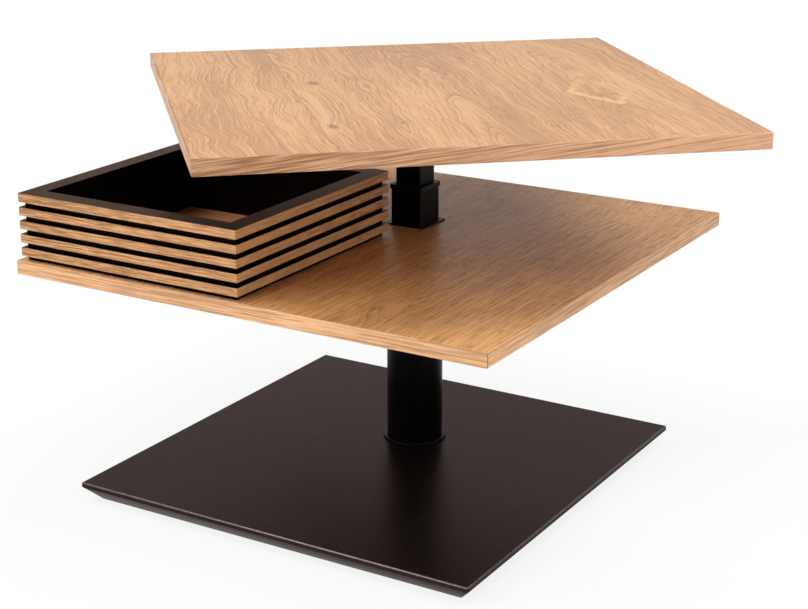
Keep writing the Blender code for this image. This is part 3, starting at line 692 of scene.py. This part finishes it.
def straight_oak(name, oak, gloss, leaf, figures=()):
    """Veneer with straight grain from front to back, but for a few swirls."""
    finish, tree, surface, place = new_finish(name, gloss)
    ring, _ = swollen(tree, place, put(tree, "SeparateXYZ", {0: place})[0], None, figures)
    spread = (STRAIGHT_SPACING, STRAIGHT_WANDER, leaf)
    oak_surface(tree, surface, oak, place, ring, STRAIGHT_SHARES, *spread)
    return finish


def oak_strip(name, oak, turn, centre, leaf, slant=STRIP_SLANT, painted_light_ends=None, shorter=1.0, finer=1.0):
    """Oak with its grain along a strip turned about a centre. Painted light and shade can make it darker or
    paler towards its two ends, and its figure can be shorter and finer."""
    finish, tree, surface, place = new_finish(name, STRIP_GLOSS)
    sockets = {"Vector": place, "Location": centre, "Rotation": (0, 0, turn)}
    turned_place = put(tree, "Mapping", sockets, vector_type="TEXTURE")[0]
    along, deep, high = put(tree, "SeparateXYZ", {0: turned_place})
    across = plus(tree, sums(tree, "MULTIPLY_ADD", along, slant, deep), high)
    across = times(tree, across, finer)
    strip = put(tree, "CombineXYZ", {0: across, 1: times(tree, along, shorter)})[0]
    # Painted shade and light, ramped from one end of the strip to the other
    dark = ramped(tree, along, -STRIP_REACH, STRIP_REACH, *painted_light_ends) if painted_light_ends else None
    spread = (STRIP_SPACING, STRIP_WANDER, leaf)
    oak_surface(tree, surface, oak, strip, across, STRIP_SHARES, *spread, dark)
    return finish


def lipped_board(name, node, body, side, centre, turn, veneer, strips):
    """A veneered board and its four lippings, made square on and then turned into place."""
    low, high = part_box(node + "_board")
    half = side / 2
    strip = LIPPING_WIDTH
    inner = half - strip - GLUE_LINE
    place = Matrix.Translation(centre) @ Matrix.Rotation(turn, 4, "Z")
    panel = blank(f"{name}_panel", (-inner, -inner, low.z), (inner, inner, high.z))
    round_off(panel, lambda a, b: True, BOARD_EASE, steps=3)
    finish_mesh()
    panel.data.transform(place)
    dress(panel, veneer, body, "oak_veneer", f"{node}_board")
    lengthwise, crosswise, end_grain = strips

    def outer(a, b):
        return all(near(max(abs(end.x), abs(end.y)), half) for end in (a, b))

    sides = {"front": (-half, -half, half, strip - half), "back": (-half, half - strip, half, half)}
    sides |= {"left": (-half, -inner, strip - half, inner), "right": (half - strip, -inner, half, inner)}
    for side_name, (x0, y0, x1, y1) in sides.items():
        lipping = blank(f"{name}_lipping_{side_name}", (x0, y0, low.z), (x1, y1, high.z))
        round_off(lipping, outer, LIPPING_EASE, steps=3)
        finish_mesh()
        finish = lengthwise if side_name in ("front", "back") else crosswise
        dress(lipping, finish, body, "oak_edge", f"{node}_edge_{side_name}")
        if finish is lengthwise:
            lipping.data.materials.append(end_grain)
            for face in lipping.data.polygons:
                face.material_index = int(abs(face.center.x) > half - LIPPING_END)
        lipping.data.transform(place)
    return panel


shelf_side = 2 * half_width("shelf_edge_front")
shelf_oak = straight_oak("shelf_oak", SHELF_OAK, SHELF_GLOSS, leaf=2.0, figures=SHELF_SWIRLS)
shelf_strips = [
    oak_strip("shelf_lipping_x", LIPPING_OAK, 0.0, (0, 0, 0), leaf=5.0),
    oak_strip("shelf_lipping_y", LIPPING_OAK, QUARTER_TURN, (0, 0, 0), leaf=8.0),
    oak_strip("lipping_end", END_OAK, QUARTER_TURN, (0, 0, 0), leaf=9.0),
]
shelf_panel = lipped_board("shelf", "shelf", "base", shelf_side, (0, 0, 0), 0.0, shelf_oak, shelf_strips)
tube_low, tube_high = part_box("guide_tube")
fit = Vector((SHELF_OPENING_FIT, SHELF_OPENING_FIT, 0))
opening = blank("shelf_opening", tube_low - fit, tube_high + fit)
round_off(opening, upright, OPENING_CORNER, steps=5)
finish_mesh()
cut_out(shelf_panel, opening)
bpy.data.objects.remove(opening)

# Guide tube
# Square steel tube, powder coated black, that rises from the column's foot through the shelf. A thin
# square rosette covers the opening, and a moulded plastic bush with a lip sits in the tube's mouth.
GUIDE_WALL = 0.002
GUIDE_CORNER = 0.003
ROSETTE_EASE = 0.0005
BUSH_EASE = 0.0008
ROSETTE_CORNER = 0.0038
PLASTIC_DARK = (0.0018, 0.0017, 0.0018, 1.0)
PLASTIC_PALE = (0.0040, 0.0037, 0.0038, 1.0)
PLASTIC_GLOSS = 0.12
PLASTIC_ROUGH = (0.38, 0.50)
PLASTIC_SPARKS = (1800, 1800, 1800)
PLASTIC_FLOW = (40, 40, 90)
PLASTIC_RELIEF = 0.00003


def square_tube(name, low, high, wall, corner, ease):
    """Square tube with rounded corners, its ends dressed."""
    piece = blank(name, low, high)
    round_off(piece, upright, corner, steps=6)
    bore(piece, wall)
    round_off(piece, level_at(low.z, high.z), ease, steps=2)
    finish_mesh()
    return piece


def across_axis(middle, normal):
    """A test for level faces that lie across the tube's axis."""
    return abs(normal.z) > FACING and near(middle.x, tube_middle.x) and near(middle.y, tube_middle.y)


def draw_in(piece, height, half, new_half):
    """Draws the end face at a height in to a smaller square of the same form, and leaves it selected."""
    pick_faces(piece, lambda middle, normal: across_axis(middle, normal) and near(middle.z, height))
    pull_out(0, 0, 0)
    scale_about((tube_middle.x, tube_middle.y, height), new_half / half)


def join_through(piece):
    """Joins the two faces that lie across the tube's axis into a hole."""
    pick_faces(piece, across_axis)
    bpy.ops.mesh.bridge_edge_loops()


def moulded_plastic(name, dark, pale):
    """Moulded plastic with a fine spark-eroded texture."""
    finish, tree, surface, place = new_finish(name, PLASTIC_GLOSS)
    sparks = patches(tree, place, PLASTIC_SPARKS)
    flow = patches(tree, place, PLASTIC_FLOW)
    colour = between(tree, ramped(tree, sparks, *NOISE_MIDDLE), dark, pale)
    rough = ramped(tree, flow, *NOISE_RANGE, *PLASTIC_ROUGH)
    lay_on(tree, surface, colour, rough, sparks, PLASTIC_RELIEF)
    return finish


tube_middle = middle_of("guide_tube")
outer_tube = square_tube("outer_tube", tube_low, tube_high, GUIDE_WALL, GUIDE_CORNER, TUBE_EASE)
dress(outer_tube, black_coat, "base", "black_steel", "guide_tube")
rosette_low, rosette_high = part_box("shelf_cover_plate")
rosette_half = half_width("shelf_cover_plate")
tube_half = half_width("guide_tube")
tube_rosette = blank("tube_rosette", rosette_low, rosette_high)
round_off(tube_rosette, upright, ROSETTE_CORNER, steps=6)
draw_in(tube_rosette, rosette_high.z, rosette_half, tube_half + CLEARANCE)
draw_in(tube_rosette, rosette_low.z, rosette_half, tube_half + CLEARANCE)
join_through(tube_rosette)
round_off(tube_rosette, level_at(rosette_high.z), ROSETTE_EASE, steps=2)
finish_mesh()
dress(tube_rosette, black_coat, "base", "black_steel", "shelf_cover_plate")

bush_low, bush_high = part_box("guide_collar")
lip_low = tube_high.z + CLEARANCE
slide_low, slide_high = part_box("lift_tube")
lip_half = half_width("guide_collar")
sleeve_half = tube_half - GUIDE_WALL - CLEARANCE
bore_half = half_width("lift_tube") + 2 * CLEARANCE
tube_bush = blank("tube_bush", (bush_low.x, bush_low.y, lip_low), bush_high)
round_off(tube_bush, upright, GUIDE_CORNER, steps=6)
draw_in(tube_bush, lip_low, lip_half, sleeve_half)
pull_out(0, 0, bush_low.z - lip_low)
draw_in(tube_bush, bush_low.z, sleeve_half, bore_half)
draw_in(tube_bush, bush_high.z, lip_half, bore_half)
join_through(tube_bush)
round_off(tube_bush, level_at(bush_high.z), BUSH_EASE, steps=3)
finish_mesh()
black_plastic = moulded_plastic("black_plastic", PLASTIC_DARK, PLASTIC_PALE)
dress(tube_bush, black_plastic, "base", "black_plastic", "guide_collar")

# Gas spring
# A locking gas spring stands inside the guide tube: a painted cylinder, a piston on a ground and
# chromed rod, and the valve pin in the rod's end. A zinc-plated plate in the lift tube holds the rod.
STEEL_DULL = (0.45, 0.45, 0.46, 1.0)
STEEL_BRIGHT = (0.68, 0.68, 0.69, 1.0)
STEEL_ROUGH = 0.22
ground_steel = plating("ground_steel", STEEL_DULL, STEEL_BRIGHT, STEEL_ROUGH)
refinish(black_coat, "gas_cylinder")
refinish(ground_steel, "gas_piston", "gas_rod", "valve_pin")
refinish(zinc, "rod_bracket")

# Lift tube
# Square steel tube that slides in the bush, powder coated black. A slot in its back wall lets the
# release lever in, a plastic shoe guides its lower end, and its head plate is welded on.
LIFT_WALL = 0.002
LIFT_CORNER = 0.0025
SLOT_BELOW_PIN = 0.006
SLOT_SIDE_FIT = 0.0008
inner_tube = square_tube("inner_tube", slide_low, slide_high, LIFT_WALL, LIFT_CORNER, TUBE_EASE)
lever_low, lever_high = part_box("release_lever")
slot_side = Vector((SLOT_SIDE_FIT, 0, 0))
slot_bottom = middle_of("lever_pin").z - SLOT_BELOW_PIN
slot_low = Vector((lever_low.x, slide_high.y - 2 * LIFT_WALL, slot_bottom))
slot_high = Vector((lever_high.x, slide_high.y + LIFT_WALL, slide_high.z + LIFT_WALL))
lever_slot = blank("lever_slot", slot_low - slot_side, slot_high + slot_side)
finish_mesh()
cut_out(inner_tube, lever_slot)
bpy.data.objects.remove(lever_slot)
dress(inner_tube, black_coat, "lift", "black_steel", "lift_tube")
refinish(black_plastic, "lift_shoe")
refinish(black_coat, "head_plate")

# Swivel
# Two pressed steel plates, zinc plated, that turn on a slippery white plastic ring. A spring clip on
# the upper plate's hub holds them together, and the upper plate is screwed to the underside of the top.
WHITE_PLASTIC_DARK = (0.58, 0.57, 0.54, 1.0)
WHITE_PLASTIC_PALE = (0.70, 0.69, 0.66, 1.0)
white_plastic = moulded_plastic("white_plastic", WHITE_PLASTIC_DARK, WHITE_PLASTIC_PALE)
refinish(zinc, "swivel_lower_plate", "swivel_upper_plate")
refinish(white_plastic, "swivel_ring")
refinish(ground_steel, "swivel_clip")
refinish(zinc, *four("top_screw"))

# Top
# Chipboard faced with leaves of flat-sliced oak, whose growth lines wave and rise in crowns, satin
# lacquered and lipped with solid oak like the shelf. It turns on the swivel, which is behind its middle.
TOP_TURN = math.radians(42.6)
TOP_SIDE = 0.690
SEAM = -0.177  # of the left leaf, from the swivel's axis
CROWN = 0.023
CROWN_PITCH = 0.203
CROWN_DEPTH = 0.034  # of the heart under the leaf, at the swivel
CROWN_TILT = 0.085
CROWN_STEP = 0.012  # by which the next crown lies deeper
TOP_GLOSS = 0.18
TOP_SHARES = (2.7, 0.9, 4.4, 0.82, 0.18)
TOP_SPACING = 0.0062
TOP_WANDER = 0.042
LEFT_WANDER = 0.012  # more of it in the left leaf
LEFT_LEAF = 4.0
TOP_OAK = [
    (0.608, 0.338, 0.154),
    (0.420, 0.206, 0.088),
    (0.230, 0.108, 0.046),
    (0.132, 0.055, 0.022),
]
TOP_LIPPING_OAK = [
    (0.708, 0.406, 0.240),
    (0.355, 0.161, 0.068),
    (0.267, 0.103, 0.042),
    (0.174, 0.063, 0.024),
]
# Knots, swells and dark places, measured from the swivel like the shelf's swirls.
FIGURES = [
    (-0.145, -0.015, 0.029, 0.052, 0.016, 0.85),
    (-0.162, -0.291, 0.023, 0.042, 0.013, 0.85),
    (-0.079, -0.051, 0.017, 0.031, 0.010, 0.4),
    (-0.076, -0.286, 0.014, 0.026, 0.008, 0.6),
    (0.226, -0.136, 0.045, 0.080, 0.013, 0.0),
    (-0.236, 0.015, 0.040, 0.080, 0.020, 0.0),
    (-0.222, -0.170, 0.035, 0.075, 0.016, 0.0),
    (-0.330, -0.030, 0.030, 0.050, 0.018, 0.0),
    (-0.335, -0.240, 0.030, 0.060, 0.018, 0.0),
    (0.050, 0.070, 0.055, 0.240, 0.0, 0.22),
    (0.060, -0.255, 0.070, 0.150, 0.0, 0.20),
    (-0.085, 0.008, 0.060, 0.070, 0.0, 0.22),
]
SEAM_LINE = 0.0012
# How dark or pale the veneer is: by the seam, from front to back as painted light and shade (paler at
# the front, darker at the back), in a stripe beside the seam and in it.
LEFT_REACH = 0.06
LEFT_SHADES = (-0.15, 0.18)
LIGHT_REACH_FRONT_TO_BACK = (-0.42, 0.26)
PAINTED_LIGHT_FRONT_TO_BACK = (-0.24, 0.10)
STRIPE_REACH = 0.11
STRIPE_SHADE = -0.25
SEAM_SHADE = 0.55
# A kite of pale wood in the right crown: its place, half width and half length. The limits of its
# middle, rim and edge are in parts of that size.
ISLAND = (0.221, -0.140, 0.050, 0.100)
ISLAND_RAGGED = (60, 30, 1)
ISLAND_RAGGED_SHARE = 0.5
ISLAND_MIDDLE = (0.95, 1.04)
ISLAND_MIDDLE_SHADE = 0.06
ISLAND_RIM = ((0.80, 1.06), (1.20, 1.26))
ISLAND_RIM_SHADES = (0.9, 0.2)  # from its front left to its back right
ISLAND_RIM_REACH = 0.8
ISLAND_EDGE = ((1.22, 1.27), (1.29, 1.36))
ISLAND_EDGE_SHADE = 0.15
# Its slant is figure. Its ends are painted light and shade: darker at the left end of the lengthwise
# lippings, paler at the right
TOP_LIPPING_FIGURE_AND_LIGHT = {"slant": -0.11, "painted_light_ends": (0.12, -0.6)}

joints = {joint["name"]: joint for joint in frame["record"]["behaviour"]["joints"]}
swivel = (*joints["top_swivel"]["pos_m"][:2], 0)


def hoop(tree, value, rise, fall):
    """1 between two soft limits and 0 outside."""
    return times(tree, ramped(tree, value, *rise), ramped(tree, value, *fall, 1.0, 0.0))


def pale_island(tree, flat, dark):
    """Adds a ragged kite of pale wood with a thin dark edge."""
    across, along, _ = put(tree, "SeparateXYZ", {0: flat})
    x, y, wide, long = ISLAND
    aside = sums(tree, "DIVIDE", sums(tree, "ABSOLUTE", minus(tree, across, x)), wide)
    ahead = sums(tree, "DIVIDE", sums(tree, "ABSOLUTE", minus(tree, along, y)), long)
    ragged = times(tree, patches(tree, flat, ISLAND_RAGGED), ISLAND_RAGGED_SHARE)
    kite = plus(tree, plus(tree, aside, ahead), ragged)
    slope = plus(tree, sums(tree, "DIVIDE", across, wide), sums(tree, "DIVIDE", along, long))
    level = x / wide + y / long
    limits = (level - ISLAND_RIM_REACH, level + ISLAND_RIM_REACH)
    fading = ramped(tree, slope, *limits, *ISLAND_RIM_SHADES)
    rim = times(tree, hoop(tree, kite, *ISLAND_RIM), fading)
    dark = sums(tree, "MULTIPLY_ADD", rim, -1.0, dark)
    dark = sums(tree, "MULTIPLY_ADD", hoop(tree, kite, *ISLAND_EDGE), ISLAND_EDGE_SHADE, dark)
    return plus(tree, dark, ramped(tree, kite, *ISLAND_MIDDLE, ISLAND_MIDDLE_SHADE, 0.0))


def crown_oak(name):
    """Flat-sliced oak in leaves from front to back, with a darker one at the left and small knots, and
    painted light and shade that make it paler at the front and darker at the back.
    """
    finish, tree, surface, place = new_finish(name, TOP_GLOSS)
    sockets = {"Vector": place, "Location": swivel, "Rotation": (0, 0, TOP_TURN)}
    flat = put(tree, "Mapping", sockets, vector_type="TEXTURE")[0]
    across, along, _ = put(tree, "SeparateXYZ", {0: flat})
    left = sums(tree, "LESS_THAN", across, SEAM)
    from_crown = minus(tree, across, CROWN)
    off_crown = sums(tree, "PINGPONG", from_crown, CROWN_PITCH / 2)
    crowns = sums(tree, "ROUND", sums(tree, "DIVIDE", from_crown, CROWN_PITCH))
    heart = sums(tree, "MULTIPLY_ADD", along, CROWN_TILT, CROWN_DEPTH)
    heart = sums(tree, "MULTIPLY_ADD", crowns, CROWN_STEP, heart)
    heart = times(tree, heart, heart)
    crown = sums(tree, "SQRT", sums(tree, "MULTIPLY_ADD", off_crown, off_crown, heart))
    way = put(tree, "Mix", {0: left, 2: crown, 3: across}, data_type="FLOAT")[0]
    dark = times(tree, ramped(tree, across, SEAM - LEFT_REACH, SEAM, *LEFT_SHADES), left)
    # Painted light and shade: paler at the front of the top, darker at its back
    dark = plus(tree, dark, ramped(tree, along, *LIGHT_REACH_FRONT_TO_BACK, *PAINTED_LIGHT_FRONT_TO_BACK))
    stripe = ramped(tree, across, SEAM, SEAM + STRIPE_REACH, STRIPE_SHADE, 0.0)
    stripe = times(tree, stripe, minus(tree, 1.0, left))
    from_seam = sums(tree, "ABSOLUTE", minus(tree, across, SEAM))
    joint = ramped(tree, from_seam, SEAM_LINE / 2, SEAM_LINE, SEAM_SHADE, 0.0)
    dark = plus(tree, plus(tree, dark, stripe), joint)
    way, dark = swollen(tree, flat, way, dark, FIGURES)
    dark = pale_island(tree, flat, dark)
    wander = sums(tree, "MULTIPLY_ADD", left, LEFT_WANDER, TOP_WANDER)
    spread = (TOP_SPACING, wander, times(tree, left, LEFT_LEAF))
    oak_surface(tree, surface, TOP_OAK, flat, way, TOP_SHARES, *spread, dark)
    return finish


top_oak = crown_oak("top_oak")
top_strips = [
    oak_strip("top_lipping_x", TOP_LIPPING_OAK, TOP_TURN, swivel, leaf=11.0, **TOP_LIPPING_FIGURE_AND_LIGHT),
    oak_strip("top_lipping_y", TOP_LIPPING_OAK, TOP_TURN + QUARTER_TURN, swivel, leaf=14.0, slant=0.0),
    shelf_strips[2],
]
top_centre = middle_of("top_board")
lipped_board("top", "top", "top", TOP_SIDE, (top_centre.x, top_centre.y, 0), TOP_TURN, top_oak, top_strips)

# Release lever
# A flat steel bar on a pin under the head plate, powder coated, with a plastic grip pushed on its end.
# Pulling the grip up presses the gas spring's valve pin.
refinish(black_coat, "release_lever", "lever_bracket")
refinish(zinc, "lever_pin")
refinish(black_plastic, "lever_grip")

# Tray
# Four walls of black-dyed fibreboard, oak veneered outside, with grooves milled through the veneer that
# leave five oak ribs. The corners are mitred and glued, and a thin oak-faced floor sits inside.
TRAY_WALL = 0.026
RIBS = 5
FIRST_RIB = 0.0120
RIB = 0.0114
GROOVE = 0.0067
GROOVE_DEEP = 0.006
RIB_EASE = 0.0002
RIB_FACING = 0.95  # leaves the eased edges of the ribs black
RIB_FIGURE = {"shorter": 2.4, "finer": 1.4}
# The ribs' ends are painted light and shade, paler towards one end and darker towards the other
FRONT_RIBS = {"leaf": 21.0, "painted_light_ends": (0.06, -0.5), **RIB_FIGURE}
SIDE_RIBS = {"leaf": 24.0, "painted_light_ends": (-0.5, 0.2), **RIB_FIGURE}
TRAY_FLOOR_GLOSS = 0.12
MITRE_GAP = 0.0001
RIB_OAK = [
    (0.652, 0.350, 0.156),
    (0.322, 0.152, 0.056),
    (0.205, 0.090, 0.031),
    (0.110, 0.043, 0.014),
]
# Darker than the shelf's oak: partly the floor veneer's own tone, partly the shade inside the tray painted
# in
TRAY_FLOOR_OAK_AND_SHADE = [
    (0.480, 0.205, 0.095),
    (0.340, 0.130, 0.055),
    (0.200, 0.068, 0.027),
    (0.090, 0.028, 0.011),
]
DYED_DARK = (0.0030, 0.0018, 0.0012, 1.0)
DYED_PALE = (0.0070, 0.0042, 0.0030, 1.0)
DYED_SHEEN = (0.605, 0.490, 0.435, 1.0)

tray_low = Vector(map(min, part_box("tray_wall_front")[0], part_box("tray_wall_left")[0]))
tray_high = Vector(map(max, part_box("tray_wall_back")[1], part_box("tray_wall_right")[1]))
tray_middle = (tray_low + tray_high) / 2


def tray_wall(name, node, length, reach, turn, rib_finish, body_finish):
    """One wall, milled flat on the bench, mitred, then turned into its place."""
    low, high = tray_low.z, tray_high.z
    half = length / 2
    piece = blank(name, (-half, GROOVE_DEEP - reach, low), (half, TRAY_WALL - reach, high))
    bottoms = [high - FIRST_RIB - i * (RIB + GROOVE) for i in range(RIBS)]
    tops = [high] + [z + RIB for z in bottoms[1:]]
    for z in bottoms + tops[1:]:
        bpy.ops.mesh.select_all(action="SELECT")
        bpy.ops.mesh.bisect(plane_co=(0, 0, z), plane_no=(0, 0, 1))

    def rib_face(middle, normal):
        return normal.y < -FACING and any(bottom < middle.z < top for bottom, top in zip(bottoms, tops))

    def rib_edge(a, b):
        return near(a.y, -reach) and near(b.y, -reach) and near(a.z, b.z)

    pick_faces(piece, rib_face)
    pull_out(0, -GROOVE_DEEP, 0)
    for side in (-1, 1):
        bpy.ops.mesh.select_all(action="SELECT")
        mitre = (side * (half - MITRE_GAP), -reach, 0)
        bpy.ops.mesh.bisect(plane_co=mitre, plane_no=(side, 1, 0), use_fill=True, clear_outer=True)
    bpy.ops.mesh.select_all(action="SELECT")
    bpy.ops.mesh.remove_doubles(threshold=TOUCH)
    round_off(piece, rib_edge, RIB_EASE, steps=2)
    finish_mesh()
    dress(piece, body_finish, "tray", "black_board", node)
    piece.data.materials.append(rib_finish)
    for face in piece.data.polygons:
        face.material_index = int(face.normal.y < -RIB_FACING and face.center.y < RIB_EASE - reach)
    place = Matrix.Translation((tray_middle.x, tray_middle.y, 0))
    piece.data.transform(place @ Matrix.Rotation(turn, 4, "Z"))


dyed_board = lacquer("dyed_board", DYED_DARK, DYED_PALE, DYED_SHEEN)
tray_ribs_x = oak_strip("tray_ribs_x", RIB_OAK, 0.0, (0, 0, 0), **FRONT_RIBS)
tray_ribs_y = oak_strip("tray_ribs_y", RIB_OAK, QUARTER_TURN, (0, 0, 0), **SIDE_RIBS)
tray_x, tray_y, _ = tray_high - tray_low
tray_wall("tray_front", "tray_wall_front", tray_x, tray_y / 2, 0.0, tray_ribs_x, dyed_board)
tray_wall("tray_right", "tray_wall_right", tray_y, tray_x / 2, QUARTER_TURN, tray_ribs_y, dyed_board)
tray_wall("tray_back", "tray_wall_back", tray_x, tray_y / 2, 2 * QUARTER_TURN, tray_ribs_x, dyed_board)
tray_wall("tray_left", "tray_wall_left", tray_y, tray_x / 2, -QUARTER_TURN, tray_ribs_y, dyed_board)
floor_low, floor_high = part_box("tray_floor")
tray_bottom = blank("tray_bottom", floor_low, floor_high)
round_off(tray_bottom, lambda a, b: True, BOARD_EASE, steps=2)
finish_mesh()
# The tray's floor oak, with painted shade of the tray's inside in its colours
tray_oak_and_shade = straight_oak("tray_oak_and_shade", TRAY_FLOOR_OAK_AND_SHADE, TRAY_FLOOR_GLOSS, leaf=31.0)
dress(tray_bottom, tray_oak_and_shade, "tray", "oak_veneer", "tray_floor")

# Studio
# A pale floor in a white room, five soft lamps, and a camera about a metre up, in front of the table
# and to its right.
FLOOR_REACH = 6.0
FLOOR_WHITE = (0.80, 0.80, 0.80, 1.0)
WHITE = (1.0, 1.0, 1.0, 1.0)
ROOM_LIGHT = 0.08
SHADOW_NEAR = 0.28  # half the side of the floor's patch with the full shadow
SHADOW_FAR = 0.60  # and of the patch beyond which there is none
SHADOW_SHARE = 0.16
LAMP_AIM = Vector((0.05, -0.10, 0.42))
LAMPS = {  # the place, side and watts of each
    "lamp_left": ((-1.2, -0.9, 1.9), 1.0, 24.3),
    "lamp_right": ((0.9, -0.9, 2.0), 1.0, 11.6),
    "lamp_back": ((0.93, 0.85, 2.2), 1.2, 28.4),
    "lamp_front": ((-0.9, -2.3, 1.2), 1.2, 30.8),
    "lamp_side": ((1.6, -0.5, 0.80), 0.6, 6.4),
}
AZIMUTH = math.radians(31.043)
ELEVATION = math.radians(18.122)
DISTANCE = 2.4871
AIM = Vector((0.0, 0.0516, 0.2374))
IMAGE_WIDTH = 808
FOCAL_PIXELS = 1754.7
SENSOR = 36.0

bpy.ops.object.select_all(action="DESELECT")
bpy.ops.mesh.primitive_plane_add(size=2 * FLOOR_REACH)
floor = bpy.context.object
floor.name = "studio_floor"
white_floor = bpy.data.materials.new("white_floor")
white_floor.use_nodes = True
tree = white_floor.node_tree
tree.nodes.clear()
soft = put(tree, "BsdfDiffuse", {"Color": FLOOR_WHITE})[0]
glow = put(tree, "Emission", {"Color": WHITE, "Strength": 1.0})[0]
east, north, _ = put(tree, "SeparateXYZ", {0: put(tree, "TexCoord")["Object"]})
out = sums(tree, "MAXIMUM", sums(tree, "ABSOLUTE", east), sums(tree, "ABSOLUTE", north))
share = ramped(tree, out, SHADOW_NEAR, SHADOW_FAR, SHADOW_SHARE, 0.0)
faint = put(tree, "MixShader", {0: share, 1: glow, 2: soft})[0]


def seen_white(tree):
    """1 for the camera, for reflections and through glass, 0 for light that falls on the table."""
    ray = put(tree, "LightPath")
    mirrored = sums(tree, "MAXIMUM", ray["Is Glossy Ray"], ray["Is Transmission Ray"])
    return sums(tree, "MAXIMUM", ray["Is Camera Ray"], mirrored)


put(tree, "OutputMaterial", {"Surface": put(tree, "MixShader", {0: seen_white(tree), 1: soft, 2: faint})[0]})
floor.data.materials.append(white_floor)

world = bpy.data.worlds.new("white_room")
bpy.context.scene.world = world
world.use_nodes = True
tree = world.node_tree
tree.nodes.clear()
level = ramped(tree, seen_white(tree), 0.0, 1.0, ROOM_LIGHT, 1.0)
put(tree, "OutputWorld", {"Surface": put(tree, "Background", {"Color": WHITE, "Strength": level})[0]})

for name, (place, side, watts) in LAMPS.items():
    bpy.ops.object.light_add(type="AREA", location=place)
    lamp = bpy.context.object
    lamp.name = name
    lamp.data.shape = "SQUARE"
    lamp.data.size = side
    lamp.data.energy = watts
    lamp.rotation_euler = (LAMP_AIM - Vector(place)).to_track_quat("-Z", "Y").to_euler()

level_back = Vector((math.sin(AZIMUTH), -math.cos(AZIMUTH), 0))
back = level_back * math.cos(ELEVATION) + Vector((0, 0, math.sin(ELEVATION)))
bpy.ops.object.camera_add(location=AIM + back * DISTANCE)
camera = bpy.context.object
camera.rotation_euler = (-back).to_track_quat("-Z", "Y").to_euler()
camera.data.sensor_width = SENSOR
camera.data.lens = FOCAL_PIXELS * SENSOR / IMAGE_WIDTH
bpy.context.scene.camera = camera
bpy.context.scene.view_settings.view_transform = "Standard"
